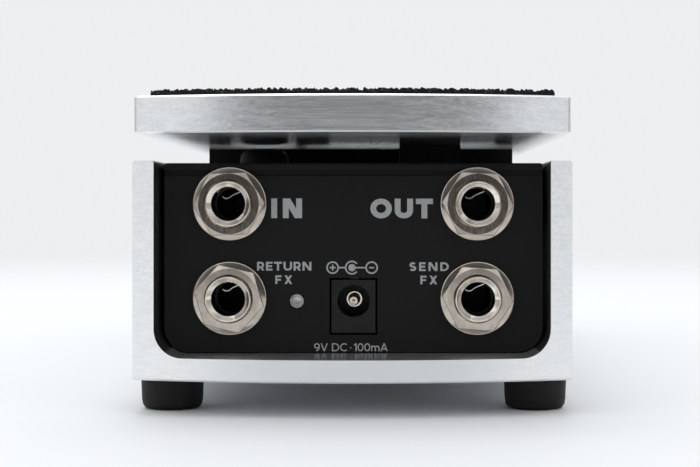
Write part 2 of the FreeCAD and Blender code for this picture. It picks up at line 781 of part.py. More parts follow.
def jack_nut(name, x, row, twist):
    """A thin hexagonal nut with bevelled corners on its outer face."""
    hexagon = prism(
        f"{name}_hexagon", "+Y", "Sizes.nut_across_flats", "Sizes.nut_thickness",
        x, "panel_y - Sizes.washer_thickness - Sizes.nut_thickness", row, twist,
    )
    corner = "Sizes.nut_across_flats / sqrt( 3 )"
    profile = (
        ("Sizes.jack_thread / 2 + Sizes.running_fit", "0"),
        ("Sizes.nut_across_flats / 2 - 0.1", "0"),
        (f"{corner} + 0.1", "0.55"),
        (f"{corner} + 0.1", "Sizes.nut_thickness"),
        ("Sizes.jack_thread / 2 + Sizes.running_fit", "Sizes.nut_thickness"),
    )
    bevel = turned(
        f"{name}_bevel", profile, "+Y", x,
        "panel_y - Sizes.washer_thickness - Sizes.nut_thickness", row,
    )
    return common(name, hexagon, bevel)


def jack_washer(name, x, row):
    """A flat washer between a jack's nut and the panel."""
    outer = "Sizes.washer_diameter / 2"
    inner = "Sizes.jack_thread / 2 + Sizes.jack_hole_gap"
    profile = (
        (inner, "0"),
        (f"{outer} - 0.2", "0"),
        (outer, "0.2"),
        (outer, "Sizes.washer_thickness"),
        (inner, "Sizes.washer_thickness"),
    )
    return turned(name, profile, "+Y", x, "panel_y - Sizes.washer_thickness", row)


def jack_tip_spring(name, x, row):
    """The bent leaf that presses on a plug's tip, lying in the housing's side slot."""
    body = doc.addObject("PartDesign::Body", name)
    leaf = sketch_on(body, f"{name}_leaf", "XY_Plane", "-Sizes.spring_width / 2")
    out = "-Sizes.jack_bore / 2"
    sheet = "Sizes.spring_sheet"
    start = "panel_back + Sizes.jack_seat + 1.4"
    back = "jack_mouth + Sizes.jack_bore_depth - 1.4"
    middle = f"(({start}) + ({back})) / 2"
    outline(
        leaf,
        (f"{out} - 0.9 - {sheet}", start),
        (f"{out} - 0.9", start),
        (f"{out} - 0.05", f"{middle} - 1.2"),
        (f"{out} - 0.05", f"{middle} + 1.2"),
        (f"{out} - 1.4", back),
        (f"{out} - 1.4 - {sheet}", back),
        (f"{out} - 0.05 - {sheet}", f"{middle} + 1.0"),
        (f"{out} - 0.05 - {sheet}", f"{middle} - 1.0"),
    )
    pad(body, f"{name}_pad", leaf, "Sizes.spring_width")
    return place(body, x, "0", row)


# name, side of the tray, row, the way the housing's cover faces, and how its nut came to rest
JACKS = (
    ("in_jack", "-jack_x", "upper_row", "up", 2.0),
    ("out_jack", "jack_x", "upper_row", "up", -3.0),
    ("return_jack", "-jack_x", "lower_row", "down", 15.0),
    ("send_jack", "jack_x", "lower_row", "down", -4.0),
)

# ------------------------------------------------------------- power inlet, light and board


def power_inlet():
    """The barrel power socket, flush with the panel."""
    case = block(
        "power_inlet_case", "-Sizes.inlet_width / 2", "panel_y", "inlet_z - Sizes.inlet_height / 2",
        "Sizes.inlet_width", "Sizes.inlet_depth", "Sizes.inlet_height",
    )
    bore = rod(
        "power_inlet_bore", "+Y", "Sizes.inlet_bore / 2", "Sizes.inlet_bore_depth + 1",
        "0", "panel_y - 1", "inlet_bore_z",
    )
    return cut("power_inlet", case, bore)


def power_inlet_pin():
    """The socket's centre pin, standing on the floor of its bore."""
    radius = "Sizes.inlet_pin / 2"
    length = "Sizes.inlet_bore_depth - Sizes.inlet_pin_setback"
    profile = (
        ("0", "0"),
        (f"{radius} - 0.35", "0"),
        (radius, "0.35"),
        (radius, length),
        ("0", length),
    )
    return turned(
        "power_inlet_pin", profile, "+Y", "0", "panel_y + Sizes.inlet_pin_setback", "inlet_bore_z"
    )


def power_inlet_tabs():
    """The socket's three solder tabs, up to the board."""
    top = "inlet_z + Sizes.inlet_height / 2"
    height = f"board_bottom - ({top})"
    tabs = []
    for number, (x, y) in enumerate((("-1", "5"), ("-1", "11"), ("1.6", "8")), start=1):
        name = f"power_inlet_tab_{number}"
        tabs.append(block(name, x, f"panel_y + {y}", top, "2", "0.5", height))
    return several("power_inlet_tabs", *tabs)


def status_light():
    """A clear 3 mm lamp that looks out through the panel."""
    radius = "Sizes.light_diameter / 2"
    dome = doc.addObject("Part::Sphere", "status_light_dome")
    bind(dome, Radius=radius)
    place(dome, "light_x", f"panel_y - Sizes.light_reach + {radius}", "inlet_bore_z")
    barrel = rod(
        "status_light_barrel", "+Y", radius, f"Sizes.light_reach - {radius} + 4",
        "light_x", f"panel_y - Sizes.light_reach + {radius}", "inlet_bore_z",
    )
    flange = rod(
        "status_light_flange", "+Y", f"{radius} + 0.4", "1", "light_x", "panel_back + 1.5", "inlet_bore_z"
    )
    return fuse("status_light", dome, barrel, flange)


def light_leads():
    """The lamp's two wire legs, back and then up to the board."""
    legs = []
    for number, side in enumerate(("-", "+"), start=1):
        x = f"light_x {side} 1.27 - 0.25"
        run = block(f"light_leg_{number}_run", x, "panel_y + 4", "inlet_bore_z - 0.25", "0.5", "3.5", "0.5")
        rise = block(
            f"light_leg_{number}_rise", x, "panel_y + 7", "inlet_bore_z - 0.25",
            "0.5", "0.5", "board_bottom - inlet_bore_z + 0.25",
        )
        legs.append(fuse(f"light_leg_{number}", run, rise))
    return several("light_leads", *legs)


def circuit_board():
    """The board that all four jacks, the inlet and the light are soldered to."""
    return block(
        "circuit_board", "-board_half", "board_front", "board_bottom",
        "2 * board_half", "board_back - board_front", "Sizes.board_thickness",
    )


def board_components():
    """What stands on the board: two chips, three capacitors and the cable's connector."""
    y = "panel_back + Sizes.jack_housing_depth"
    chips = [
        block(f"board_chip_{number}", f"{x} - 5", f"{y} + 4", "board_top", "10", "8", "2.2")
        for number, x in enumerate(("-18", "-2"), start=1)
    ]
    capacitors = [
        rod(f"board_capacitor_{number}", "+Z", "2.5", "8", f"{x}", f"{y} + 10", "board_top")
        for number, x in enumerate(("-28", "8"), start=1)
    ]
    film = block("board_film_capacitor", "-8", "panel_back + 9", "board_top", "10", "7", "6")
    connector = block(
        "board_connector", "cable_x - 4", "tray_back - Sizes.tray_wall - 10", "board_top",
        "8", "6", "cable_z - board_top + 2.4",
    )
    return several("board_components", *chips, *capacitors, film, connector)


# -------------------------------------------------------------------- potentiometer and cable


def pot_bracket():
    """The folded angle that stands the potentiometer on the channel's floor."""
    sheet = "Sizes.pot_bracket_sheet"
    side = "Sizes.pot_bracket_screw_spacing / 2 + 4"
    upright = block(
        "pot_bracket_upright", f"Sizes.pot_front - {sheet}", f"pot_y - ({side})", "floor_top",
        sheet, f"2 * ({side})", "pot_z + 9 - floor_top",
    )
    sole = block(
        "pot_bracket_sole", f"Sizes.pot_front - {sheet} - Sizes.pot_bracket_foot", f"pot_y - ({side})",
        "floor_top", f"Sizes.pot_bracket_foot + {sheet}", f"2 * ({side})", sheet,
    )
    seat = rod(
        "pot_bracket_seat", "+X", "Sizes.pot_bushing_diameter / 2 + 0.1", "10",
        f"Sizes.pot_front - {sheet} - 4", "pot_y", "pot_z",
    )
    holes = [
        rod(f"pot_bracket_hole_{number}", "+Z", "Sizes.tray_screw / 2 + 0.05", "10", x, y, "floor_top - 2")
        for number, (x, y) in enumerate(POT_BRACKET_SCREWS, start=1)
    ]
    return cut("pot_bracket", fuse("pot_bracket_blank", upright, sole), seat, *holes)


def pot_body():
    """The potentiometer's round can."""
    radius = "Sizes.pot_diameter / 2"
    profile = (
        ("0", "0"),
        (f"{radius} - 0.6", "0"),
        (radius, "0.6"),
        (radius, "Sizes.pot_length - 1"),
        (f"{radius} - 1", "Sizes.pot_length"),
        ("0", "Sizes.pot_length"),
    )
    return turned("pot_body", profile, "+X", "Sizes.pot_front", "pot_y", "pot_z")


def pot_bushing():
    """The potentiometer's threaded neck, through its bracket."""
    inner = "Sizes.pot_shaft_diameter / 2 + Sizes.running_fit"
    outer = "Sizes.pot_bushing_diameter / 2"
    length = "Sizes.pot_bushing_length"
    profile = ((inner, "0"), (f"{outer} - 0.3", "0"), (outer, "0.3"), (outer, length), (inner, length))
    return turned("pot_bushing", profile, "+X", f"Sizes.pot_front - {length}", "pot_y", "pot_z")


def pot_nut():
    """The nut that clamps the potentiometer to its bracket."""
    start = "Sizes.pot_front - Sizes.pot_bracket_sheet - Sizes.pot_nut_thickness"
    hexagon = prism(
        "pot_nut_hexagon", "+X", "Sizes.pot_nut_across_flats", "Sizes.pot_nut_thickness",
        start, "pot_y", "pot_z", 10.0,
    )
    hole = rod(
        "pot_nut_hole", "+X", "Sizes.pot_bushing_diameter / 2 + Sizes.running_fit", "10",
        f"{start} - 4", "pot_y", "pot_z",
    )
    return cut("pot_nut", hexagon, hole)


def pot_shaft():
    """The potentiometer's turning shaft, out to the pinion."""
    radius = "Sizes.pot_shaft_diameter / 2"
    end = "-Sizes.sector_side - Sizes.pinion_face / 2 - 1"
    length = f"Sizes.pot_front - 0.1 - ({end})"
    profile = (
        ("0", "0"),
        (f"{radius} - 0.4", "0"),
        (radius, "0.4"),
        (radius, length),
        ("0", length),
    )
    return turned("pot_shaft", profile, "+X", end, "pot_y", "pot_z")


def pot_terminals():
    """The block of solder terminals on top of the can, where the cable ends."""
    post = block(
        "pot_terminal_block", "cable_x - 4.5", "pot_y - 2.5", "pot_z", "9", "5", "cable_z + 2.2 - pot_z"
    )
    can = rod(
        "pot_terminal_seat", "+X", "Sizes.pot_diameter / 2", "20", "cable_x - 10", "pot_y", "pot_z"
    )
    return cut("pot_terminals", post, can)


def pot_cable():
    """The short three-core cable from the board's connector to the potentiometer."""
    start = "tray_back - Sizes.tray_wall - 4"
    length = f"pot_y - 2.5 - ({start})"
    return rod("pot_cable", "+Y", "Sizes.cable_diameter / 2", length, "cable_x", start, "cable_z")


def cable_grommet():
    """The grooved rubber ring that lines the cable's hole in the tray."""
    inner = "Sizes.cable_diameter / 2 + 0.1"
    neck = "Sizes.cable_diameter / 2 + 1.5"
    lip = "Sizes.cable_diameter / 2 + 2.6"
    wall = "Sizes.tray_wall"
    profile = (
        (inner, "0"),
        (f"{lip} - 0.3", "0"),
        (lip, "0.3"),
        (lip, "1.2"),
        (neck, "1.2"),
        (neck, f"1.2 + {wall}"),
        (lip, f"1.2 + {wall}"),
        (lip, f"2.1 + {wall}"),
        (f"{lip} - 0.3", f"2.4 + {wall}"),
        (inner, f"2.4 + {wall}"),
    )
    return turned("cable_grommet", profile, "+Y", "cable_x", f"tray_back - {wall} - 1.2", "cable_z")


# -------------------------------------------------------------------------------------- gears

PRESSURE_ANGLE = 20
BACKLASH_SHIFT = -0.06  # of the module: both gears are cut this much deeper
TOOTH_MARGIN = 6.0  # degrees of teeth beyond each end of the sector's travel


def gear_face(teeth):
    """The outline of a whole involute gear, with a tooth centred on +X."""
    builder = fcgear.FCWireBuilder()
    involute.CreateExternalGear(
        builder, value("Sizes.gear_module"), int(teeth), PRESSURE_ANGLE, shiftCoeff=BACKLASH_SHIFT
    )
    return Part.Face(Part.Wire([curve.toShape() for curve in builder.wire]))


def across(shape, x):
    """Lays a shape drawn in the XY plane across the pedal, its X to +Y and its Y to +Z."""
    shape.transformShape(Placement(Vector(x, 0, 0), Rotation(Vector(1, 1, 1), 120)).toMatrix())
    return shape


def sector_gear():
    """A slice of a large gear on the pivot shaft, with its arm, hub and set-screw hole."""
    module = value("Sizes.gear_module")
    teeth = value("Sizes.sector_teeth")
    sheet = value("Sizes.sector_sheet")
    hub_radius = value("Sizes.sector_hub / 2")
    hub_length = value("Sizes.sector_hub_length")
    shaft_radius = value("Sizes.shaft_diameter / 2")
    pitch_radius = module * teeth / 2
    mesh = 180 + value("mesh_angle")
    travel = value("rock_angle")
    tip = pitch_radius + 2 * module

    whole = gear_face(teeth)
    whole.rotate(Vector(), Vector(0, 0, 1), mesh)
    whole = whole.extrude(Vector(0, 0, sheet))
    first = math.radians(mesh - TOOTH_MARGIN)
    last = math.radians(mesh + travel + TOOTH_MARGIN)
    middle = (first + last) / 2
    reach = tip / math.cos((last - first) / 2)
    corners = [
        Vector(),
        Vector(reach * math.cos(first), reach * math.sin(first), 0),
        Vector(2 * reach * math.cos(middle), 2 * reach * math.sin(middle), 0),
        Vector(reach * math.cos(last), reach * math.sin(last), 0),
        Vector(),
    ]
    wedge = Part.Face(Part.makePolygon(corners)).extrude(Vector(0, 0, sheet))
    arm = whole.common(wedge)
    # One hole lightens the arm, between the hub and the rim.
    hole_centre = 0.68 * pitch_radius
    hole_radius = 0.5 * hole_centre * math.sin((last - first) / 2)
    hole = Part.makeCylinder(
        hole_radius, sheet,
        Vector(hole_centre * math.cos(middle), hole_centre * math.sin(middle), 0),
    )
    arm = arm.cut(hole)
    hub = Part.makeCylinder(hub_radius, hub_length, Vector(0, 0, 0))
    bore = Part.makeCylinder(shaft_radius, hub_length + 2, Vector(0, 0, -1))
    screw_hole = Part.makeCylinder(
        1.55, hub_radius + 2, Vector(0, 0, (sheet + hub_length) / 2), Vector(0, 1, 0)
    )
    shape = across(arm.fuse(hub).cut(bore).cut(screw_hole).removeSplitter(), 0)
    item = doc.addObject("Part::Feature", "sector_gear")
    item.Shape = shape
    return place(item, "-Sizes.sector_side - Sizes.sector_sheet / 2", "pivot_y", "pivot_z")


def pinion():
    """The small gear on the potentiometer's shaft, with its hub and set-screw hole."""
    teeth = value("Sizes.pinion_teeth")
    face_width = value("Sizes.pinion_face")
    hub_length = value("Sizes.pinion_hub_length")
    hub_radius = value("Sizes.pinion_hub / 2")
    shaft_radius = value("Sizes.pot_shaft_diameter / 2")
    gear = gear_face(teeth)
    # A gap between teeth, not a tooth, faces the sector's tooth at the mesh.
    gear.rotate(Vector(), Vector(0, 0, 1), value("mesh_angle") + 180 / teeth)
    gear = gear.extrude(Vector(0, 0, face_width))
    hub = Part.makeCylinder(hub_radius, hub_length, Vector(0, 0, face_width))
    bore = Part.makeCylinder(shaft_radius, face_width + hub_length + 2, Vector(0, 0, -1))
    screw_hole = Part.makeCylinder(
        1.05, hub_radius + 2, Vector(0, 0, face_width + hub_length / 2), Vector(0, 1, 0)
    )
    shape = across(gear.fuse(hub).cut(bore).cut(screw_hole).removeSplitter(), 0)
    item = doc.addObject("Part::Feature", "pinion")
    item.Shape = shape
    return place(item, "-Sizes.sector_side - Sizes.pinion_face / 2", "pot_y", "pot_z")


def set_screw(name, radius, shaft_radius, hub_radius, x, y, z):
    """A headless screw that locks a gear's hub to its shaft."""
    profile = (
        ("0", "0"),
        (f"{radius} - 0.3", "0"),
        (radius, "0.3"),
        (radius, f"{hub_radius} - {shaft_radius} - 0.2"),
        ("0", f"{hub_radius} - {shaft_radius} - 0.2"),
    )
    return turned(name, profile, "+Z", x, y, f"{z} + {shaft_radius}")


# ------------------------------------------------------------------------- treadle and pivot


def treadle_plate():
    """The thick treadle slab, with blind holes for the bracket's screws."""
    body = doc.addObject("PartDesign::Body", "treadle_plate")
    plan = sketch_on(body, "treadle_plan", "XY_Plane", "treadle_bottom")
    bowed_outline(plan, "Sizes.treadle_side_margin")
    pad(body, "treadle_blank", plan, "Sizes.treadle_thickness")
    taps = sketch_on(body, "treadle_taps", "XY_Plane", "treadle_bottom")
    for x, y in BRACKET_SCREWS:
        circle(taps, "Sizes.bracket_screw / 2 + 0.05", x, y)
    pocket(body, "treadle_tap_holes", taps, "Sizes.bracket_screw_depth", up=True)
    height = value("Sizes.treadle_thickness")
    dress(
        body, "treadle_corners", "Fillet", "Sizes.treadle_corner",
        lambda box, edge: near(box.ZLength, height) and box.XLength + box.YLength < 0.01
        and abs(box.XMin) > 20,
    )
    low = value("treadle_bottom")
    top = value("treadle_top")
    dress(
        body, "treadle_edges", "Chamfer", "Sizes.edge_break",
        lambda box, edge: (near(box.ZMin, top) or near(box.ZMax, low)) and edge.Length > 50,
    )
    return body


BRACKET_SCREWS = [
    (f"{x_sign} bracket_screw_x", f"pivot_y {y_sign} bracket_screw_y")
    for x_sign in ("-", "+")
    for y_sign in ("-", "+")
]


def grip_sheet():
    """The sheet of coarse grip that is glued to the treadle's top."""
    body = doc.addObject("PartDesign::Body", "grip_sheet")
    plan = sketch_on(body, "grip_plan", "XY_Plane", "treadle_top")
    bowed_outline(plan, "Sizes.treadle_side_margin + Sizes.grip_margin")
    pad(body, "grip_blank", plan, "Sizes.grip_thickness")
    return body


def treadle_bracket():
    """The folded steel bracket under the treadle, with a tab at each side and a lip in front."""
    body = doc.addObject("PartDesign::Body", "treadle_bracket")
    web = sketch_on(body, "bracket_web", "XY_Plane", "web_bottom")
    half = "Sizes.bracket_length / 2"
    rectangle(web, "-tab_outside", "tab_outside", f"pivot_y - {half}", f"pivot_y + {half}")
    pad(body, "bracket_web_pad", web, "Sizes.bracket_sheet")
    lip = sketch_on(body, "bracket_lip", "XY_Plane", "web_bottom + 0.5")
    rectangle(
        lip, "-tab_outside", "tab_outside",
        f"pivot_y - {half}", f"pivot_y - {half} + Sizes.bracket_sheet",
    )
    pad(body, "bracket_lip_pad", lip, "Sizes.bracket_lip + 0.5", down=True)
    tab = "Sizes.tab_length / 2"
    for side, lift in (("left", "-tab_outside"), ("right", "tab_inside")):
        ear = sketch_on(body, f"bracket_tab_{side}", "YZ_Plane", lift)
        outline(
            ear,
            (f"pivot_y - {tab}", "web_bottom + 0.5"),
            (f"pivot_y - {tab}", "pivot_z"),
            (f"pivot_y - 0.55 * {tab}", "pivot_z - Sizes.tab_drop"),
            (f"pivot_y + 0.55 * {tab}", "pivot_z - Sizes.tab_drop"),
            (f"pivot_y + {tab}", "pivot_z"),
            (f"pivot_y + {tab}", "web_bottom + 0.5"),
        )
        pad(body, f"bracket_tab_{side}_pad", ear, "Sizes.bracket_sheet")
    shaft = sketch_on(body, "bracket_shaft_hole", "YZ_Plane")
    circle(shaft, "Sizes.shaft_diameter / 2", "pivot_y", "pivot_z")
    pocket(body, "bracket_shaft_holes", shaft)
    holes = sketch_on(body, "bracket_screw_holes", "XY_Plane", "treadle_bottom")
    for x, y in BRACKET_SCREWS:
        circle(holes, "Sizes.bracket_screw / 2 + 0.15", x, y)
    pocket(body, "bracket_screw_cuts", holes, "Sizes.bracket_sheet + 1")
    low = value("pivot_z - Sizes.tab_drop")
    middle = value("pivot_z")
    dress(
        body, "bracket_tab_corners", "Fillet", "3",
        lambda box, edge: near(box.XLength, value("Sizes.bracket_sheet"))
        and (near(box.ZMax, low) or near(box.ZMax, middle)) and near(box.ZLength, 0),
    )
    return body


def bracket_screws():
    """Four button-headed screws from the bracket up into the treadle."""
    screws = [
        screw(
            f"bracket_screw_{number}", "+Z", "Sizes.bracket_screw_head / 2", "2.2",
            "Sizes.bracket_screw / 2", "Sizes.bracket_sheet + Sizes.bracket_screw_depth - 0.6",
            x, y, "web_bottom", "2.5",
        )
        for number, (x, y) in enumerate(BRACKET_SCREWS, start=1)
    ]
    return several("bracket_screws", *screws)


def pivot_shaft():
    """The ground cross shaft, with a hexagonal socket in each end."""
    radius = "Sizes.shaft_diameter / 2"
    half = "half_width - 0.4"
    profile = (
        ("0", "0"),
        (f"{radius} - 0.4", "0"),
        (radius, "0.4"),
        (radius, f"2 * ({half}) - 0.4"),
        (f"{radius} - 0.4", f"2 * ({half})"),
        ("0", f"2 * ({half})"),
    )
    blank = turned("pivot_shaft_blank", profile, "+X", f"-({half})", "pivot_y", "pivot_z")
    depth = "3.5"
    left = prism(
        "pivot_socket_left", "+X", "Sizes.shaft_socket", depth, f"-({half})", "pivot_y", "pivot_z"
    )
    right = prism(
        "pivot_socket_right", "+X", "Sizes.shaft_socket", depth,
        f"({half}) - {depth}", "pivot_y", "pivot_z", 20.0,
    )
    return cut("pivot_shaft", blank, left, right)


def pivot_bushing(name, along, x):
    """A flanged bearing bush pressed into a wall from inside."""
    inner = "Sizes.shaft_diameter / 2 + Sizes.running_fit"
    flange = "Sizes.bushing_flange"
    rim = "Sizes.bushing_flange_diameter / 2"
    end = f"{flange} + Sizes.wall_thickness - 0.2"
    profile = (
        (inner, "0"),
        (f"{rim} - 0.2", "0"),
        (rim, "0.2"),
        (rim, flange),
        ("bushing_radius", flange),
        ("bushing_radius", f"{end} - 0.3"),
        ("bushing_radius - 0.3", end),
        (inner, end),
    )
    return turned(name, profile, along, x, "pivot_y", "pivot_z")


def shaft_clips():
    """Two spring clips that keep the shaft from sliding across the bracket."""
    clips = []
    inner = "Sizes.shaft_diameter / 2"
    outer = "Sizes.clip_diameter / 2"
    thick = "Sizes.clip_thickness"
    for side, x in (("left", "-tab_inside + 0.05"), ("right", f"tab_inside - 0.05 - {thick}")):
        profile = ((inner, "0"), (outer, "0"), (outer, thick), (inner, thick))
        ring = turned(f"clip_ring_{side}", profile, "+X", x, "pivot_y", "pivot_z")
        gap = block(
            f"clip_gap_{side}", f"{x} - 1", f"pivot_y - 0.6 * {inner}", "pivot_z - Sizes.clip_diameter",
            "4", f"1.2 * {inner}", "Sizes.clip_diameter",
        )
        clips.append(cut(f"clip_{side}", ring, gap))
    return several("shaft_clips", *clips)


# ------------------------------------------------------------------------------------ bumpers


def domed(name, radius, height, x, y, z):
    """A round rubber bumper with a rounded top."""
    profile = (
        ("0", "0"),
        (radius, "0"),
        (radius, f"({height}) - 2.2"),
        (f"{radius} - 0.35", f"({height}) - 1.1"),
        (f"{radius} - 1.2", f"({height}) - 0.35"),
        (f"{radius} - 2.6", height),
        ("0", height),
    )
    return turned(name, profile, "+Z", x, y, z)


def toe_bumpers():
    """The stops on the lid: a domed bumper and, beside it, the taller square pad."""
    round_one = domed(
        "toe_bumper_round", "Sizes.toe_bumper_diameter / 2",
        "treadle_bottom - Sizes.toe_bumper_play - lid_top", "-0.57 * tray_half", "toe_bumper_y", "lid_top",
    )
    half = "Sizes.toe_pad_size / 2"
    pad_block = block(
        "toe_bumper_pad", f"0.43 * tray_half - {half}", f"toe_bumper_y - {half}", "lid_top",
        "Sizes.toe_pad_size", "Sizes.toe_pad_size", "treadle_bottom - Sizes.toe_pad_play - lid_top",
    )
    return several("toe_bumpers", round_one, pad_block)


def heel_bumpers():
    """Two tall bumpers on the channel's floor that stop the heel."""
    pair = [
        domed(
            f"heel_bumper_{number}", "Sizes.heel_bumper_diameter / 2", "heel_bumper_top - floor_top",
            f"{sign} Sizes.heel_bumper_side", "heel_bumper_y", "floor_top",
        )
        for number, sign in enumerate(("-", "+"), start=1)
    ]
    return several("heel_bumpers", *pair)


# ------------------------------------------------------------------------------ the assembly

pieces = [base_channel()]
FEET = (
    ("foot_toe_left", "-foot_x", "-foot_y"),
    ("foot_toe_right", "foot_x", "-foot_y"),
    ("foot_heel_left", "-foot_x", "foot_y"),
    ("foot_heel_right", "foot_x", "foot_y"),
)
foot_screws = []
for foot_name, foot_x, foot_y in FEET:
    pieces.append(foot(foot_name, foot_x, foot_y))
    foot_screws.append(
        screw(
            f"{foot_name}_screw", "+Z", "2.8", "2", "1.5", "Sizes.foot_height - 3 + 3.4",
            foot_x, foot_y, "3", "2",
        )
    )
pieces.append(several("foot_screws", *foot_screws))

pieces += [jack_tray(), tray_lid(), lid_screws()]
pieces.append(
    floor_screws(
        "tray_screws", TRAY_SCREWS,
        "Sizes.floor_thickness - Sizes.tray_screw_head_height + Sizes.tray_wall + 2",
    )
)
for jack, jack_side, jack_row, jack_cover, nut_twist in JACKS:
    pieces += [
        jack_housing(f"{jack}_housing", jack_side, jack_row, jack_cover),
        jack_bushing(f"{jack}_bushing", jack_side, jack_row),
        jack_nut(f"{jack}_nut", jack_side, jack_row, nut_twist),
        jack_washer(f"{jack}_washer", jack_side, jack_row),
        jack_tip_spring(f"{jack}_tip_spring", jack_side, jack_row),
    ]
pieces += [power_inlet(), power_inlet_pin(), power_inlet_tabs(), status_light(), light_leads()]
pieces += [circuit_board(), board_components()]
pieces += [cable_grommet(), pot_cable(), pot_terminals(), pot_bracket()]
pieces.append(
    floor_screws(
        "pot_bracket_screws", POT_BRACKET_SCREWS,
        "Sizes.floor_thickness - Sizes.tray_screw_head_height + Sizes.pot_bracket_sheet + 1",
    )
)
pieces += [pot_body(), pot_bushing(), pot_nut(), pot_shaft(), pinion()]
pieces.append(
    set_screw(
        "pinion_set_screw", "1.0", "Sizes.pot_shaft_diameter / 2", "Sizes.pinion_hub / 2",
        "-Sizes.sector_side + Sizes.pinion_face / 2 + Sizes.pinion_hub_length / 2", "pot_y", "pot_z",
    )
)
pieces += [
    pivot_bushing("pivot_bushing_left", "-X", "-bay_half + Sizes.bushing_flange"),
    pivot_bushing("pivot_bushing_right", "+X", "bay_half - Sizes.bushing_flange"),
    pivot_shaft(),
    shaft_clips(),
    treadle_bracket(),
    bracket_screws(),
    sector_gear(),
]
pieces.append(
    set_screw(
        "sector_set_screw", "1.5", "Sizes.shaft_diameter / 2", "Sizes.sector_hub / 2",
        "-Sizes.sector_side + Sizes.sector_hub_length / 2", "pivot_y", "pivot_z",
    )
)
pieces += [treadle_plate(), grip_sheet(), toe_bumpers(), heel_bumpers()]

doc.recompute()

for item in doc.Objects:
    if any(state in ("Invalid", "Error") for state in item.State):
        raise ValueError(f"{item.Label} did not compute: {item.State}")
for piece in pieces:
    if piece.Shape.isNull() or not piece.Shape.isValid() or not piece.Shape.Solids:
        raise ValueError(f"{piece.Label} has no valid solid")

os.makedirs("parts", exist_ok=True)
for piece in pieces:
    piece.Shape.exportStep(f"parts/{piece.Label}.step")
print(len(pieces), "pieces written")
print(
    "shaft at", round(value("pivot_y"), 3), round(value("pivot_z"), 3),
    "pot at", round(value("pot_y"), 3), round(value("pot_z"), 3),
    "rock angle", round(value("rock_angle"), 3),
)
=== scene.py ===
import math
import random

import bmesh
import bpy
import numpy as np
from mathutils import Matrix, Vector


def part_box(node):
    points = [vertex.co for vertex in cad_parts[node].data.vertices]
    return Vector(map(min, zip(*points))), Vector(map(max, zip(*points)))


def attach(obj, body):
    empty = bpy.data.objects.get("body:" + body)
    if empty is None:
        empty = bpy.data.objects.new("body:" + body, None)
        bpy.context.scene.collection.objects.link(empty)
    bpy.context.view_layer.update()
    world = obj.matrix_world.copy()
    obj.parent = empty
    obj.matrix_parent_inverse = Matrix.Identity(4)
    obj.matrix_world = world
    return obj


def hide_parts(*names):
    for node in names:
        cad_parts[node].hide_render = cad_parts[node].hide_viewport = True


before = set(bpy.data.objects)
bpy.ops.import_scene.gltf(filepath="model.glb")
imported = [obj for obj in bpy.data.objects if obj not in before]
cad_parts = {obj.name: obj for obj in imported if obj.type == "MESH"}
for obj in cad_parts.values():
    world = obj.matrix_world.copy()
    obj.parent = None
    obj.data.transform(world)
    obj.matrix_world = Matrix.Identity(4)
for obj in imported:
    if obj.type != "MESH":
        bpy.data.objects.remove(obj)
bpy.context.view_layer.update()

# A volume pedal: +X to the right of its jack end, +Y towards the heel, +Z up, in metres.

# ------------------------------------------------------------------------------ camera
# The eye stands a little right of the middle, level with the upper jacks, and looks straight
# along the pedal. The shift slides the view without tilting the uprights.

MM = 0.001
EYE = (8 * MM, -459.5 * MM, 41.4 * MM)
FOCAL_LENGTH = 86.6
SENSOR_WIDTH = 36
SHIFT_ACROSS = -0.06
SHIFT_UP = -0.034

lens = bpy.data.cameras.new("camera")
lens.lens = FOCAL_LENGTH
lens.sensor_width = SENSOR_WIDTH
lens.shift_x = SHIFT_ACROSS
lens.shift_y = SHIFT_UP
camera = bpy.data.objects.new("camera", lens)
camera.location = EYE
camera.rotation_euler = (math.radians(90), 0, 0)
bpy.context.scene.collection.objects.link(camera)
bpy.context.scene.camera = camera

# ------------------------------------------------------------------------------ studio
# A pale table that fades into a white sweep, with grey screens square to the sides, a dark
# stretch of room in front of the jacks, and one soft lamp overhead.

TABLE_COLOUR = (0.84, 0.85, 0.86)
TABLE_RADIUS = 3.0
TABLE_NEAR = 0.45
TABLE_FAR = 1.3
SWEEP_COLOUR = (0.845, 0.86, 0.875, 1)
DAYLIGHT = (0.975, 0.99, 1.0, 1)
DARK_WAY = Vector((0.0, -1.0, 0.0))
DARK_SHARE = 0.14
SCREEN_SHARE = 0.62


def new_finish(name, colour, metallic=0.0, roughness=0.5, **more):
    """A new material and its shader, with the values that are the same all over."""
    material = bpy.data.materials.new(name)
    material.use_nodes = True
    shader = material.node_tree.nodes["Principled BSDF"]
    shader.inputs["Base Color"].default_value = (*colour, 1)
    shader.inputs["Metallic"].default_value = metallic
    shader.inputs["Roughness"].default_value = roughness
    for socket, amount in more.items():
        shader.inputs[socket.replace("_", " ")].default_value = amount
    return material, shader


def add(tree, kind, inputs=None, **settings):
    """One more node: its own settings, and its inputs as plain values or as links."""
    node = tree.nodes.new("ShaderNode" + kind)
    for setting, choice in settings.items():
        setattr(node, setting, choice)
    for socket, source in (inputs or {}).items():
        if isinstance(source, bpy.types.NodeSocket):
            tree.links.new(source, node.inputs[socket])
        else:
            node.inputs[socket].default_value = source
    return node


def maths(tree, operation, first, second=0.0):
    """One sum on one or two values."""
    return add(tree, "Math", {0: first, 1: second}, operation=operation).outputs[0]


def remap(tree, amount, low, high, to_low=0.0, to_high=1.0):
    """An amount from low to high, spread smoothly over another range."""
    inputs = {"Value": amount, "From Min": low, "From Max": high, "To Min": to_low, "To Max": to_high}
    return add(tree, "MapRange", inputs, interpolation_type="SMOOTHSTEP").outputs["Result"]


floor_mesh = bpy.data.meshes.new("table_top")
floor_shape = bmesh.new()
bmesh.ops.create_circle(floor_shape, cap_ends=True, radius=TABLE_RADIUS, segments=96)
floor_shape.to_mesh(floor_mesh)
floor = bpy.data.objects.new("table_top", floor_mesh)
bpy.context.scene.collection.objects.link(floor)

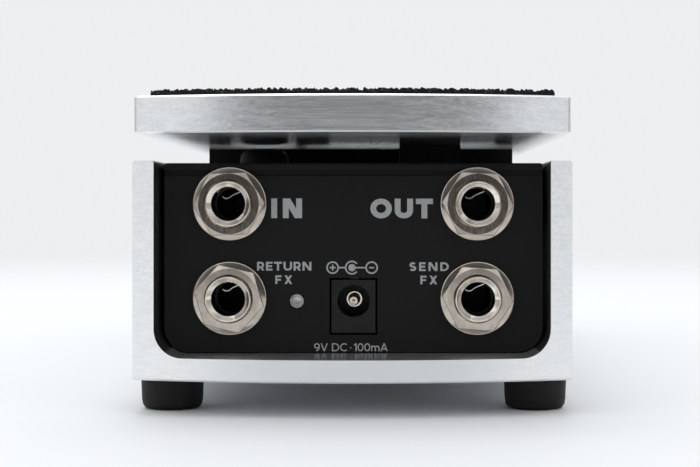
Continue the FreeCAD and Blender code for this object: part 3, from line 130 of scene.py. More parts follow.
table_finish, table_shader = new_finish("white_table", TABLE_COLOUR, roughness=0.62)
tree = table_finish.node_tree
place = add(tree, "TexCoord").outputs["Object"]
away = add(tree, "VectorMath", {0: place}, operation="LENGTH").outputs["Value"]
fade = remap(tree, away, TABLE_NEAR, TABLE_FAR)
clear = add(tree, "BsdfTransparent")
joined = add(tree, "MixShader", {0: fade, 1: table_shader.outputs[0], 2: clear.outputs[0]})
tree.links.new(joined.outputs[0], tree.nodes["Material Output"].inputs["Surface"])
floor_mesh.materials.append(table_finish)

room = bpy.data.worlds.new("studio")
room.use_nodes = True
bpy.context.scene.world = room
tree = room.node_tree
way = add(tree, "TexCoord").outputs["Generated"]
parts = add(tree, "SeparateXYZ", {0: way})
facing = add(tree, "VectorMath", {0: way, 1: DARK_WAY}, operation="DOT_PRODUCT").outputs["Value"]
gloom = remap(tree, facing, 0.76, 0.975)
sides = remap(tree, parts.outputs["X"], -0.7, 0.7, 0.88, 0.81)
above = remap(tree, parts.outputs["Z"], -0.15, 0.75, -0.16, 0.24)
bright = maths(tree, "ADD", sides, above)
bright = maths(tree, "MULTIPLY", bright, remap(tree, gloom, 0.0, 1.0, 1.0, DARK_SHARE))
to_side = maths(tree, "ABSOLUTE", parts.outputs["X"])
bright = maths(tree, "MULTIPLY", bright, remap(tree, to_side, 0.82, 0.98, 1.0, SCREEN_SHARE))
lit = add(tree, "Background", {"Color": DAYLIGHT, "Strength": bright})
seen = add(tree, "Background", {"Color": SWEEP_COLOUR, "Strength": 1.0})
eye = add(tree, "LightPath").outputs["Is Camera Ray"]
joined = add(tree, "MixShader", {0: eye, 1: lit.outputs[0], 2: seen.outputs[0]})
tree.links.new(joined.outputs[0], tree.nodes["World Output"].inputs["Surface"])


def soft_lamp(name, width, height, power, place, target):
    """A flat diffused lamp of that size, aimed at a point."""
    lamp = bpy.data.lights.new(name, "AREA")
    lamp.shape = "RECTANGLE"
    lamp.size = width
    lamp.size_y = height
    lamp.energy = power
    stand = bpy.data.objects.new(name, lamp)
    stand.location = place
    stand.rotation_euler = (Vector(target) - Vector(place)).to_track_quat("-Z", "Y").to_euler()
    bpy.context.scene.collection.objects.link(stand)


soft_lamp("top_lamp", 0.6, 0.6, 2.4, (-0.1, 0.15, 1.0), (0, 0, 0))
soft_lamp("left_lamp", 0.35, 0.6, 0.15, (-0.75, -0.45, 0.45), (0, 0, 0.03))
bpy.context.scene.view_settings.view_transform = "Standard"

# ------------------------------------------------------------------------ base channel
# The channel is one length of thick aluminium extrusion, sawn and milled to shape, brushed
# along its length and across its ends, then clear anodised.


def noise(tree, scale, drawn=(1, 1, 1), detail=3.0):
    """Noise at a scale per metre, drawn out along an axis where that axis is small."""
    where = add(tree, "TexCoord").outputs["Object"]
    spread = add(tree, "Mapping", {"Vector": where, "Scale": drawn}).outputs[0]
    return add(tree, "TexNoise", {"Vector": spread, "Scale": scale, "Detail": detail}).outputs["Fac"]


def tint(tree, amount, low, high):
    """A colour between two, by an amount."""
    return add(tree, "Mix", {0: amount, 6: (*low, 1), 7: (*high, 1)}, data_type="RGBA").outputs[2]


def between(tree, amount, low, high):
    """A value between two others, by an amount."""
    return add(tree, "Mix", {0: amount, 2: low, 3: high}, data_type="FLOAT").outputs[0]


def relief(tree, shader, height, depth, strength):
    """Raises the surface by a height from 0 to 1, that deep in metres."""
    bump = add(tree, "Bump", {"Height": height, "Distance": depth, "Strength": strength})
    tree.links.new(bump.outputs[0], shader.inputs["Normal"])


def feed(tree, shader, **sockets):
    """Joins worked-out values to the shader's sockets."""
    for socket, source in sockets.items():
        tree.links.new(source, shader.inputs[socket.replace("_", " ")])


def finish_nodes(material, *nodes):
    """Gives CAD nodes their finish."""
    for name in nodes:
        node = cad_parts[name]
        if not node.material_slots:
            node.data.materials.append(material)
        for slot in node.material_slots:
            slot.material = material


FINE_GRAIN = 5200
COARSE_GRAIN = 1300
SIDE_FACING = 0.6
STREAK_SHARE, BAND_SHARE, WEAR_SHARE = 0.45, 0.35, 0.30


def brushed_aluminium(name, dark, light):
    """Brushed metal: the grain runs along the sides, and across every other face."""
    material, shader = new_finish(
        name, light, metallic=1.0, roughness=0.24, Anisotropic=0.7, Anisotropic_Rotation=0.25
    )
    tree = material.node_tree
    normal = add(tree, "TexCoord").outputs["Normal"]
    sideways = maths(tree, "ABSOLUTE", add(tree, "SeparateXYZ", {0: normal}).outputs["X"])
    is_side = maths(tree, "GREATER_THAN", sideways, SIDE_FACING)
    along = noise(tree, FINE_GRAIN, (1, 0.010, 1), 4)
    across = noise(tree, FINE_GRAIN, (0.008, 1, 1), 4)
    grain = between(tree, is_side, across, along)
    not_side = maths(tree, "SUBTRACT", 1.0, is_side)
    brushed_way = add(tree, "CombineXYZ", {"X": not_side, "Y": is_side}).outputs[0]
    coarse_across = noise(tree, COARSE_GRAIN, (0.012, 1, 1))
    coarse_along = noise(tree, COARSE_GRAIN, (1, 0.012, 1))
    coarse = between(tree, is_side, coarse_across, coarse_along)
    cloud = noise(tree, 42, (1, 0.5, 1), 2)
    streak = maths(tree, "MULTIPLY", remap(tree, grain, 0.34, 0.68), STREAK_SHARE)
    band_shade = maths(tree, "MULTIPLY", remap(tree, coarse, 0.3, 0.7), BAND_SHARE)
    worn = maths(tree, "MULTIPLY", cloud, WEAR_SHARE)
    shade = maths(tree, "ADD", maths(tree, "ADD", streak, band_shade), worn)
    feed(
        tree, shader,
        Base_Color=tint(tree, shade, dark, light),
        Roughness=between(tree, shade, 0.20, 0.27),
        Tangent=brushed_way,
    )
    relief(tree, shader, grain, 0.01 * MM, 0.03)
    return material


aluminium = brushed_aluminium("brushed_aluminium", (0.77, 0.78, 0.79), (0.93, 0.94, 0.95))
finish_nodes(aluminium, "base_channel", "treadle_plate")

# -------------------------------------------------------------------------------- feet
# Four moulded rubber feet, each a squat drum with a softened lower edge, held by one screw
# in its middle. The mould leaves them matt, and the table dusts their rims.


def matt_rubber(name, colour, dust, wear=0.5):
    """Moulded rubber: dull, faintly mottled, with dust in its pores."""
    material, shader = new_finish(name, colour, roughness=0.62, Specular_IOR_Level=0.28)
    tree = material.node_tree
    pores = noise(tree, 5200, detail=4)
    bloom = remap(tree, noise(tree, 260, detail=4), 0.42, 0.78, 0.0, wear)
    feed(
        tree, shader,
        Base_Color=tint(tree, bloom, colour, dust),
        Roughness=between(tree, pores, 0.5, 0.72),
    )
    relief(tree, shader, pores, 0.03 * MM, 0.5)
    return material


rubber = matt_rubber("black_rubber", (0.005, 0.005, 0.0053), (0.016, 0.0155, 0.015))
FEET = ("foot_toe_left", "foot_toe_right", "foot_heel_left", "foot_heel_right")
finish_nodes(rubber, *FEET)

# ------------------------------------------------------------------------------ screws
# Steel cap screws with a hexagonal socket, turned with a crowned head and a rolled thread,
# then bright zinc plated. They hold the feet, the tray, the lid and both brackets.

TURN = 2 * math.pi
SIXTH = TURN / 6


def across_flats(width, twist=0.0):
    """The radius of a hexagon of that width across its flats, at each angle."""
    return lambda angle: width / 2 / math.cos((angle - twist) % SIXTH - SIXTH / 2)


def thread(crest, pitch, depth, low, high):
    """Rings for a screw thread between two heights, fading out at both ends."""
    count = max(4, math.ceil((high - low) / pitch * 5))
    rings = []
    for step in range(count + 1):
        height = low + (high - low) * step / count
        fade = min(1.0, (height - low) / pitch, (high - height) / pitch)

        def radius(angle, height=height, fade=fade):
            turn = (height / pitch - angle / TURN) % 1
            return crest - depth * fade * abs(2 * turn - 1)

        rings.append((radius, height))
    return rings


def turned(profile, steps=72, ring=False):
    """A shape turned about +Z from radii and heights, each a number or a rule by angle."""
    shape = bmesh.new()
    loops = []
    for radius, height in profile:
        if radius == 0:
            loops.append([shape.verts.new((0, 0, height))])
            continue
        loop = []
        for step in range(steps):
            angle = TURN * step / steps
            out = radius(angle) if callable(radius) else radius
            up = height(angle) if callable(height) else height
            loop.append(shape.verts.new((out * math.cos(angle), out * math.sin(angle), up)))
        loops.append(loop)
    pairs = list(zip(loops, loops[1:]))
    if ring:
        pairs.append((loops[-1], loops[0]))
    for first, second in pairs:
        for step in range(steps):
            after = (step + 1) % steps
            corners = [first[step % len(first)], first[after % len(first)]]
            corners += [second[after % len(second)], second[step % len(second)]]
            shape.faces.new(list(dict.fromkeys(corners)))
    bmesh.ops.recalc_face_normals(shape, faces=shape.faces)
    return shape


def settle(shapes, name, crease=35.0):
    """One mesh from shapes and their placings, smooth up to a crease angle in degrees."""
    mesh = bpy.data.meshes.new(name)
    whole = bmesh.new()
    for shape, placings in shapes:
        for placing in placings:
            copy = shape.copy()
            copy.transform(placing)
            part = bpy.data.meshes.new("part")
            copy.to_mesh(part)
            copy.free()
            whole.from_mesh(part)
            bpy.data.meshes.remove(part)
        shape.free()
    whole.to_mesh(mesh)
    whole.free()
    mesh.shade_smooth()
    mesh.set_sharp_from_angle(angle=math.radians(crease))
    return mesh


def piece(name, mesh, material, slot, body, *nodes, at=(0, 0, 0)):
    """A finished mesh on its body, in place of the CAD nodes it stands for; the slot argument is not
    used.
    """
    thing = bpy.data.objects.new(name, mesh)
    thing.location = at
    bpy.context.scene.collection.objects.link(thing)
    mesh.materials.append(material)
    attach(thing, body)
    if nodes:
        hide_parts(*nodes)


MARK_PITCH = 0.16 * MM


def plated(name, dark, light, low, high, turned_marks=0.0):
    """Plated metal: fine scratches, faint tarnish, and rings where a lathe tool has run."""
    material, shader = new_finish(name, light, metallic=1.0, roughness=low)
    tree = material.node_tree
    tarnish = remap(tree, noise(tree, 320, detail=5), 0.35, 0.7)
    scratch = noise(tree, 5200, (1, 1, 0.08), 4)
    feed(
        tree, shader,
        Base_Color=tint(tree, tarnish, dark, light),
        Roughness=between(tree, remap(tree, scratch, 0.3, 0.75), low, high),
    )
    height = scratch
    if turned_marks:
        place = add(tree, "TexCoord").outputs["Object"]
        flat = add(tree, "VectorMath", {0: place, 1: (1, 0, 1)}, operation="MULTIPLY").outputs[0]
        away = add(tree, "VectorMath", {0: flat}, operation="LENGTH").outputs["Value"]
        rings = maths(tree, "SINE", maths(tree, "MULTIPLY", away, TURN / MARK_PITCH))
        height = maths(tree, "ADD", scratch, maths(tree, "MULTIPLY", rings, turned_marks))
    relief(tree, shader, height, 0.01 * MM, 0.05)
    return material


zinc = plated("zinc_steel", (0.52, 0.52, 0.54), (0.78, 0.79, 0.80), 0.24, 0.42)


def cap_screw(head_radius, head_height, socket, radius, length, pitch):
    """A cap screw with its head at the bottom and its shank up, from the head's underside."""
    hole = across_flats(socket)
    profile = [
        (0, -0.35 * head_height),
        (hole, -0.35 * head_height),
        (hole, -head_height),
        (head_radius - 0.5 * MM, -head_height),
        (head_radius - 0.15 * MM, -head_height + 0.12 * MM),
        (head_radius, -head_height + 0.4 * MM),
        (head_radius, -0.08 * MM),
        (head_radius - 0.08 * MM, 0),
        (radius, 0),
    ]
    profile += thread(radius, pitch, 0.55 * pitch, 0.3 * MM, length - 0.5 * MM)
    profile += [(radius - 0.4 * MM, length), (0, length)]
    return turned(profile, 48)


def flat_screw(head_radius, socket, radius, length, pitch):
    """A countersunk screw with its flat face at the bottom and its shank up."""
    hole = across_flats(socket)
    taper = 0.1 * MM + head_radius - radius
    profile = [
        (0, 0.8 * MM),
        (hole, 0.8 * MM),
        (hole, 0),
        (head_radius - 0.1 * MM, 0),
        (head_radius, 0.1 * MM),
        (radius, taper),
    ]
    profile += thread(radius, pitch, 0.55 * pitch, taper + 0.2 * MM, length - 0.5 * MM)
    profile += [(radius - 0.4 * MM, length), (0, length)]
    return turned(profile, 48)


SOCKET_TURN = 0.9

# Each group: body, head's radius and height, socket, shank's radius and pitch in millimetres,
# and 1 where the shank points up. The screws stand at the corners of their group's own box,
# and the lid's have flat heads of no height.
SCREWS = {
    "foot_screws": ("chassis", 2.8, 1.9, 2.5, 1.5, 0.5, 1),
    "tray_screws": ("chassis", 2.8, 1.9, 2.5, 1.5, 0.5, 1),
    "pot_bracket_screws": ("chassis", 2.8, 1.9, 2.5, 1.5, 0.5, 1),
    "lid_screws": ("chassis", 2.3, 0, 1.5, 1.25, 0.45, -1),
    "bracket_screws": ("treadle", 3.8, 2.2, 3.0, 2.0, 0.7, 1),
}
for name, (body, head, high, socket, radius, pitch, way) in SCREWS.items():
    low_corner, high_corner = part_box(name)
    inset = Vector((head, head, 0)) * MM
    near_corner, far_corner = low_corner + inset, high_corner - inset
    seat = low_corner.z + high * MM if way > 0 else high_corner.z - high * MM
    length = (high_corner.z - seat) if way > 0 else (seat - low_corner.z)
    columns = sorted({round(near_corner.x, 4), round(far_corner.x, 4)})
    rows = sorted({round(near_corner.y, 4), round(far_corner.y, 4)})
    flip = Matrix.Identity(4) if way > 0 else Matrix.Rotation(math.pi, 4, "X")
    places = [
        Matrix.Translation((x, y, seat)) @ flip @ Matrix.Rotation(SOCKET_TURN * (i + 2 * j), 4, "Z")
        for i, x in enumerate(columns) for j, y in enumerate(rows)
    ]
    if high:
        shape = cap_screw(head * MM, high * MM, socket * MM, radius * MM, length, pitch * MM)
    else:
        shape = flat_screw(head * MM, socket * MM, radius * MM, length, pitch * MM)
    piece(name + "_turned", settle([(shape, places)], name), zinc, "zinc_steel", body, name)

# ---------------------------------------------------------------------------- jack tray
# The tray is folded from steel sheet and sprayed black; its front is the jack panel. The flat
# lid has a fold under its edges and is sprayed with it, so both have the same fine skin.


PAINT = (0.0045, 0.0045, 0.0047)


def sprayed_black(name):
    """Fine-textured black paint, with dust caught on it."""
    material, shader = new_finish(name, PAINT, roughness=0.5, Specular_IOR_Level=0.2)
    tree = material.node_tree
    skin = noise(tree, 2600, detail=5)
    dust = remap(tree, noise(tree, 1900, detail=2), 0.70, 0.78, 0.0, 0.35)
    feed(
        tree, shader,
        Base_Color=tint(tree, dust, PAINT, (0.035, 0.035, 0.035)),
        Roughness=between(tree, skin, 0.42, 0.62),
    )
    relief(tree, shader, skin, 0.03 * MM, 0.35)
    return material


paint = sprayed_black("panel_powder_coat")
finish_nodes(paint, "jack_tray", "tray_lid")

# ------------------------------------------------------------------------ panel printing
# The panel is screen printed in one pass of light grey ink: plain function words beside the
# jacks, the usual polarity sign of a centre-negative power inlet, and a common rating.

INK_THICKNESS = 0.03 * MM
# Where two lines of a letter cross, one lies a little higher, so their faces never coincide.
LAYER_STEP = 0.003 * MM


def arc(x, y, wide, high, start, end, steps=14):
    """Points along part of an oval, from one angle to another in degrees."""
    angles = [math.radians(start + (end - start) * step / steps) for step in range(steps + 1)]
    return [(x + wide * math.cos(angle), y + high * math.sin(angle)) for angle in angles]


def band(points, weight, closed=False):
    """The two sides of an inked line of that weight, as pairs of points."""
    count = len(points)
    sides = []
    for index, point in enumerate(points):
        here = Vector(point)
        if closed or 0 < index < count - 1:
            before = (here - Vector(points[index - 1])).normalized()
            after = (Vector(points[(index + 1) % count]) - here).normalized()
        elif index == 0:
            before = after = (Vector(points[1]) - here).normalized()
        else:
            before = after = (here - Vector(points[index - 1])).normalized()
        along = (before + after).normalized()
        across = Vector((-along.y, along.x)) * (weight / 2 / max(0.5, along.dot(before)))
        sides.append((here + across, here - across))
    return sides, closed


def inked_oval(x, y, wide, high, weight):
    """A closed inked oval; wide and high are half of its middle line's size."""
    return band(arc(x, y, wide, high, 0, 352, 44), weight, True)


def slant(x_low, x_high, weight, low=0.0, high=1.0):
    """A sloping line whose ends are cut level; x_low and x_high are its middle there."""
    slope = (x_high - x_low) / (high - low)
    half = weight / 2 * math.sqrt(1 + slope * slope)
    return [(Vector((x, y)) - Vector((half, 0)), Vector((x, y)) + Vector((half, 0)))
            for x, y in ((x_low, low), (x_high, high))], False


def letters(w):
    """Each character's width and inked lines, one unit tall, at a line weight."""
    edge = w / 2
    top = 1 - edge
    bowl = (top - edge) / 4

    def up(x, low=0.0, high=1.0):
        return band([(x, low), (x, high)], w)

    def bar(y, left, right):
        return band([(left, y), (right, y)], w)

    def oval(x, y, wide, high):
        return inked_oval(x, y, wide - edge, high - edge, w)

    return {
        " ": (0.28, []),
        ".": (0.50, [band([(0.19, 0.42), (0.32, 0.42)], 0.13)]),
        "0": (0.70, [oval(0.35, 0.5, 0.35, 0.5)]),
        "1": (0.36, [up(0.36 - edge), slant(0.08, 0.30, w * 0.9, 0.74, 1.0)]),
        "9": (0.68, [
            oval(0.34, 0.67, 0.34, 0.33),
            band(arc(0.22, 0.60, 0.46 - edge, 0.60 - edge, 0, -84), w),
        ]),
        "A": (0.86, [
            slant(edge * 1.1, 0.43, w), slant(0.86 - edge * 1.1, 0.43, w), bar(0.30, 0.2, 0.66),
        ]),
        "C": (0.88, [band(arc(0.5, 0.5, 0.5 - edge, 0.5 - edge, 48, 312, 28), w)]),
        "D": (0.86, [
            up(edge),
            band([(edge, top), (0.36, top)] + arc(0.36, 0.5, 0.50 - edge, top - 0.5, 80, -80, 18)
                 + [(0.36, edge), (edge, edge)], w),
        ]),
        "E": (0.66, [up(edge), bar(top, edge, 0.66), bar(0.5, edge, 0.61), bar(edge, edge, 0.66)]),
        "F": (0.64, [up(edge), bar(top, edge, 0.64), bar(0.48, edge, 0.59)]),
        "I": (w, [up(edge)]),
        "N": (0.90, [up(edge), up(0.90 - edge), slant(0.90 - edge * 1.25, edge * 1.25, w * 1.05)]),
        "O": (1.01, [oval(0.505, 0.5, 0.505, 0.5)]),
        "R": (0.74, [
            up(edge),
            band([(edge, top), (0.38, top)]
                 + arc(0.38, (top + 0.37) / 2, 0.33 - edge, (top - 0.37) / 2, 80, -80)
                 + [(0.38, 0.37), (edge, 0.37)], w),
            slant(0.74 - edge * 1.2, 0.40, w, 0.0, 0.40),
        ]),
        "S": (0.70, [
            band(arc(0.36, top - bowl, 0.34 - edge, bowl, 38, 262)
                 + arc(0.34, edge + bowl, 0.36 - edge, bowl, 82, -146), w),
        ]),
        "T": (0.80, [bar(top, 0, 0.80), up(0.40)]),
        "U": (0.86, [
            band([(edge, 1.0)] + arc(0.43, 0.40, 0.43 - edge, 0.40 - edge, 180, 360, 20)
                 + [(0.86 - edge, 1.0)], w),
        ]),
        "V": (0.84, [slant(0.42, edge * 1.1, w), slant(0.42, 0.84 - edge * 1.1, w)]),
        "X": (0.80, [slant(edge * 1.2, 0.80 - edge * 1.2, w), slant(0.80 - edge * 1.2, edge * 1.2, w)]),
        "m": (1.0, [
            up(edge, 0, 0.70), up(0.5, 0, 0.46), up(1.0 - edge, 0, 0.46),
            band(arc((0.5 + edge) / 2, 0.44, (0.5 - edge) / 2, 0.26 - edge, 180, 0), w),
            band(arc((1.5 - edge) / 2, 0.44, (0.5 - edge) / 2, 0.26 - edge, 180, 0), w),
        ]),
    }


ink_shape = bmesh.new()
panel_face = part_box("jack_tray")[0].y


def ink(line, to_panel, layer):
    """Lays one inked line on the panel; to_panel gives x and z for a point of the drawing."""
    face = INK_THICKNESS + LAYER_STEP * layer
    sides, closed = line
    rows = []
    for pair in sides:
        corners = [to_panel(point) for point in pair]
        rows.append([
            ink_shape.verts.new((x, panel_face - lift, z))
            for lift in (face, -face) for x, z in corners
        ])
    order = (0, 1, 3, 2)
    pairs = list(zip(rows, rows[1:])) + ([(rows[-1], rows[0])] if closed else [])
    for first, second in pairs:
        for corner in range(4):
            a, b = order[corner], order[(corner + 1) % 4]
            ink_shape.faces.new((first[a], first[b], second[b], second[a]))
    if not closed:
        for row in (rows[0], rows[-1]):
            ink_shape.faces.new([row[corner] for corner in order])


def write(words, weight, left, right, base, tall, broad=1.0):
    """A line of print between two edges, its letters spaced to fill it; millimetres."""
    drawn = [letters(weight)[character] for character in words]
    room = (right - left) / tall / broad - sum(width for width, lines in drawn)
    gap = room / (len(drawn) - 1)
    start = 0.0
    for width, lines in drawn:
        for layer, line in enumerate(lines):
            ink(line, lambda point, start=start: (
                (left + (start + point[0]) * broad * tall) * MM, (base + point[1] * tall) * MM), layer)
        start += width + gap


write("IN", 0.275, -17.1, -10.7, 39.65, 4.1, 1.08)
write("OUT", 0.275, 3.5, 16.5, 39.6, 4.1, 1.08)
write("RETURN", 0.21, -20.05, -8.75, 28.75, 1.82, 1.13)
write("FX", 0.21, -16.25, -12.75, 25.98, 1.78, 1.13)
write("SEND", 0.21, 11.6, 19.8, 28.65, 1.82, 1.13)
write("FX", 0.21, 13.9, 17.4, 25.9, 1.78, 1.13)
write("9V DC.100mA", 0.13, -8.2, 7.1, 11.98, 1.66, 1.05)

SIGN_HEIGHT = 29.36
SIGN_LINE = 0.30
SIGN_PLUS, SIGN_CENTRE, SIGN_MINUS = -4.34, -0.33, 3.77
SIGN_RING = 1.16
SIGN_SOCKET = 1.30
SIGN_DOT = 0.38
SIGN_DOT_LINE = 0.74
SIGN_LINES = [
    inked_oval(SIGN_PLUS, SIGN_HEIGHT, SIGN_RING, SIGN_RING, SIGN_LINE),
    inked_oval(SIGN_MINUS, SIGN_HEIGHT, SIGN_RING, SIGN_RING, SIGN_LINE),
    band(arc(SIGN_CENTRE, SIGN_HEIGHT, SIGN_SOCKET, SIGN_SOCKET, 38, 322, 44), SIGN_LINE),
    band(arc(SIGN_CENTRE, SIGN_HEIGHT, SIGN_DOT, SIGN_DOT, 0, 345, 23), SIGN_DOT_LINE, True),
    band([(SIGN_PLUS, SIGN_HEIGHT - 0.6), (SIGN_PLUS, SIGN_HEIGHT + 0.6)], SIGN_LINE),
]
# The two links between the rings, then the level bars of the plus and the minus.
for left, right in ((-3.1, -1.5), (-0.4, 2.55), (-4.95, -3.73), (3.25, 4.29)):
    SIGN_LINES.append(band([(left, SIGN_HEIGHT), (right, SIGN_HEIGHT)], SIGN_LINE))
for layer, line in enumerate(SIGN_LINES):
    ink(line, lambda point: (point[0] * MM, point[1] * MM), layer)

ink_finish, ink_shader = new_finish("print_ink", (0.36, 0.37, 0.375), roughness=0.55)
tree = ink_finish.node_tree
speckle = remap(tree, noise(tree, 4200, detail=4), 0.28, 0.5)
feed(tree, ink_shader, Base_Color=tint(tree, speckle, (0.20, 0.205, 0.21), (0.38, 0.39, 0.395)))
relief(tree, ink_shader, speckle, 0.01 * MM, 0.3)
bmesh.ops.recalc_face_normals(ink_shape, faces=ink_shape.faces)
ink_mesh = bpy.data.meshes.new("panel_print")
ink_shape.to_mesh(ink_mesh)
ink_shape.free()
piece("panel_print", ink_mesh, ink_finish, "panel_powder_coat", "chassis")

# -------------------------------------------------------------------------------- jacks
# Each quarter-inch jack has a turned brass neck that comes through the panel, nickel plated
# and threaded outside, with a countersunk mouth. A washer and a hexagonal nut clamp it, and
# a silver leaf inside springs against the plug's tip. The body is moulded black.

nickel = plated("nickel_plate", (0.44, 0.39, 0.34), (0.58, 0.52, 0.46), 0.08, 0.15, turned_marks=0.35)
# A lighter copy of the same nickel plate as the washers and nuts: its paler colour is a painted
# highlight on the jack necks' mouths, the power pin and its collar.
nickel_painted_highlight = plated("nickel_painted_highlight", (0.66, 0.59, 0.51), (0.86, 0.81, 0.74), 0.06, 0.12)
silver = plated("spring_silver", (0.60, 0.60, 0.58), (0.90, 0.89, 0.86), 0.18, 0.3)
OUTWARD = Matrix.Rotation(math.radians(90), 4, "X")
HERE = [Matrix.Identity(4)]


def moulded_plastic(name, colour, glint):
    """Moulded plastic: satin, with a faint skin and rubbed high spots."""
    material, shader = new_finish(name, colour, roughness=0.4, Specular_IOR_Level=0.3)
    tree = material.node_tree
    skin = noise(tree, 3400, detail=4)
    feed(
        tree, shader,
        Base_Color=tint(tree, remap(tree, noise(tree, 420, detail=3), 0.4, 0.7), colour, glint),
        Roughness=between(tree, skin, 0.30, 0.52),
    )
    relief(tree, shader, skin, 0.02 * MM, 0.3)
    return material


plastic = moulded_plastic("black_plastic", (0.0045, 0.0045, 0.0048), (0.009, 0.009, 0.0095))


NECK_PITCH = 0.79 * MM
NECK_THREAD_DEPTH = 0.32 * MM


def neck(reach, seat, crest, bore):
    """The threaded neck: its countersunk mouth up, its thread down to the panel, its seat behind."""
    profile = [
        (bore, -seat),
        (bore, reach - 1.15 * MM),
        (bore + 0.03 * MM, reach - 0.80 * MM),
        (bore + 0.86 * MM, reach - 0.12 * MM),
        (bore + 0.94 * MM, reach - 0.03 * MM),
        (bore + 1.04 * MM, reach),
        (crest - 0.10 * MM, reach - 0.03 * MM),
        (crest - 0.02 * MM, reach - 0.16 * MM),
        (crest - 0.02 * MM, reach - 0.30 * MM),
    ]
    profile += reversed(thread(crest, NECK_PITCH, NECK_THREAD_DEPTH, -1.2 * MM, reach - 0.4 * MM))
    profile += [(crest - 0.2 * MM, -1.4 * MM), (crest - 0.2 * MM, -seat)]
    return turned(profile, 96, ring=True)


CHAMFER_ANGLE = 28


def hexagonal_nut(flats, thick, bore, twist):
    """A nut whose corners are turned off at a low angle on its outer face."""
    outline = across_flats(flats, twist)
    chamfer_start = flats / 2 - 0.12 * MM
    slope = math.tan(math.radians(CHAMFER_ANGLE))
    edge = 0.10 * MM

    def inside_edge(angle):
        return outline(angle) - edge

    def outer_face(angle):
        return thick - max(0.0, outline(angle) - edge - chamfer_start) * slope

    def below_edge(angle):
        return outer_face(angle) - edge

    profile = [
        (bore, 0.1 * MM),
        (bore, thick - 0.30 * MM),
        (bore + 0.12 * MM, thick - 0.08 * MM),
        (bore + 0.25 * MM, thick),
        (chamfer_start - 0.02 * MM, thick),
        (inside_edge, outer_face),
        (outline, below_edge),
        (outline, 0.0),
        (bore + 0.1 * MM, 0.0),
    ]
    return turned(profile, 120, ring=True)


def pressed_washer(outer, inner, thick):
    """A stamped washer: rolled over on its outer face, square behind."""
    profile = [
        (inner, 0),
        (inner, thick - 0.1 * MM),
        (inner + 0.1 * MM, thick),
        (outer - 0.28 * MM, thick),
        (outer - 0.10 * MM, thick - 0.08 * MM),
        (outer, thick - 0.28 * MM),
        (outer, 0.08 * MM),
        (outer - 0.08 * MM, 0),
    ]
    return turned(profile, 96, ring=True)


# The leaf's section in millimetres, across and up from the middle of the bore.
LEAF_SECTION = [
    (-2.2, 1.45), (-1.9, 1.20), (-1.4, 1.06), (-0.9, 1.15), (-0.5, 1.45), (0.0, 1.80),
    (0.7, 2.10), (1.4, 2.38), (1.9, 2.62),
]


def tip_leaf(sheet, length, dip, steps=12):
    """A pressed silver leaf along the bore, bowed down in the middle of its length."""
    shape = bmesh.new()
    rows = []
    for step in range(steps + 1):
        along = step / steps
        fall = dip * math.sin(math.pi * along)
        rows.append([
            shape.verts.new((x * MM, length * along, z * MM - fall + lift))
            for side, lift in ((LEAF_SECTION, 0), (LEAF_SECTION[::-1], sheet)) for x, z in side
        ])
    around = len(rows[0])
    for first, second in zip(rows, rows[1:]):
        for corner in range(around):
            after = (corner + 1) % around
            shape.faces.new((first[corner], first[after], second[after], second[corner]))
    for row in (rows[0], rows[-1]):
        shape.faces.new(row)
    bmesh.ops.recalc_face_normals(shape, faces=shape.faces)
    return shape


JACK_BORE = 3.5 * MM
WASHER_CLEARANCE = 0.08 * MM
NUT_CLEARANCE = 0.05 * MM
NUT_FLATS = 12.8 * MM
NUT_CREASE = 9
TURNED_CREASE = 40
LEAF_CREASE = 50
LEAF_SHEET = 0.22 * MM
LEAF_DIP = 0.5 * MM
NUT_TWISTS = {"in_jack": 2.0, "out_jack": -3.0, "return_jack": -13.0, "send_jack": -4.0}
for jack, nut_twist in NUT_TWISTS.items():
    low_corner, high_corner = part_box(jack + "_bushing")
    middle = (low_corner + high_corner) / 2
    crest = (high_corner.x - low_corner.x) / 2
    face = Vector((middle.x, panel_face, middle.z))
    finish_nodes(plastic, jack + "_housing")

    shape = neck(panel_face - low_corner.y, high_corner.y - panel_face, crest, JACK_BORE)
    mesh = settle([(shape, [OUTWARD])], jack + "_neck", TURNED_CREASE)
    # The neck takes the lighter nickel copy, a painted highlight in its countersunk mouth.
    piece(jack + "_neck", mesh, nickel_painted_highlight, "nickel_plate", "chassis", jack + "_bushing", at=face)

    washer_low, washer_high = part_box(jack + "_washer")
    thick = panel_face - washer_low.y
    outer = (washer_high.x - washer_low.x) / 2
    shape = pressed_washer(outer, crest + WASHER_CLEARANCE, thick)
    mesh = settle([(shape, [OUTWARD])], jack + "_flat_ring", TURNED_CREASE)
    piece(jack + "_flat_ring", mesh, nickel, "nickel_plate", "chassis", jack + "_washer", at=face)

    nut_low, nut_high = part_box(jack + "_nut")
    thick = nut_high.y - nut_low.y
    shape = hexagonal_nut(NUT_FLATS, thick, crest + NUT_CLEARANCE, math.radians(nut_twist))
    mesh = settle([(shape, [OUTWARD])], jack + "_clamp_nut", NUT_CREASE)
    seat = Vector((middle.x, nut_high.y, middle.z))
    piece(jack + "_clamp_nut", mesh, nickel, "nickel_plate", "chassis", jack + "_nut", at=seat)

    leaf_low, leaf_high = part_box(jack + "_tip_spring")
    shape = tip_leaf(LEAF_SHEET, leaf_high.y - leaf_low.y, LEAF_DIP)
    mesh = settle([(shape, HERE)], jack + "_leaf", LEAF_CREASE)
    seat = Vector((middle.x, leaf_low.y, middle.z))
    piece(jack + "_leaf", mesh, silver, "spring_silver", "chassis", jack + "_tip_spring", at=seat)

# ------------------------------------------------------------------------- power inlet
# The power socket is a moulded box behind a square hole in the panel. Its centre pin is a
# hollow nickel tube that stands in a nickel collar, and three tinned tabs carry it.

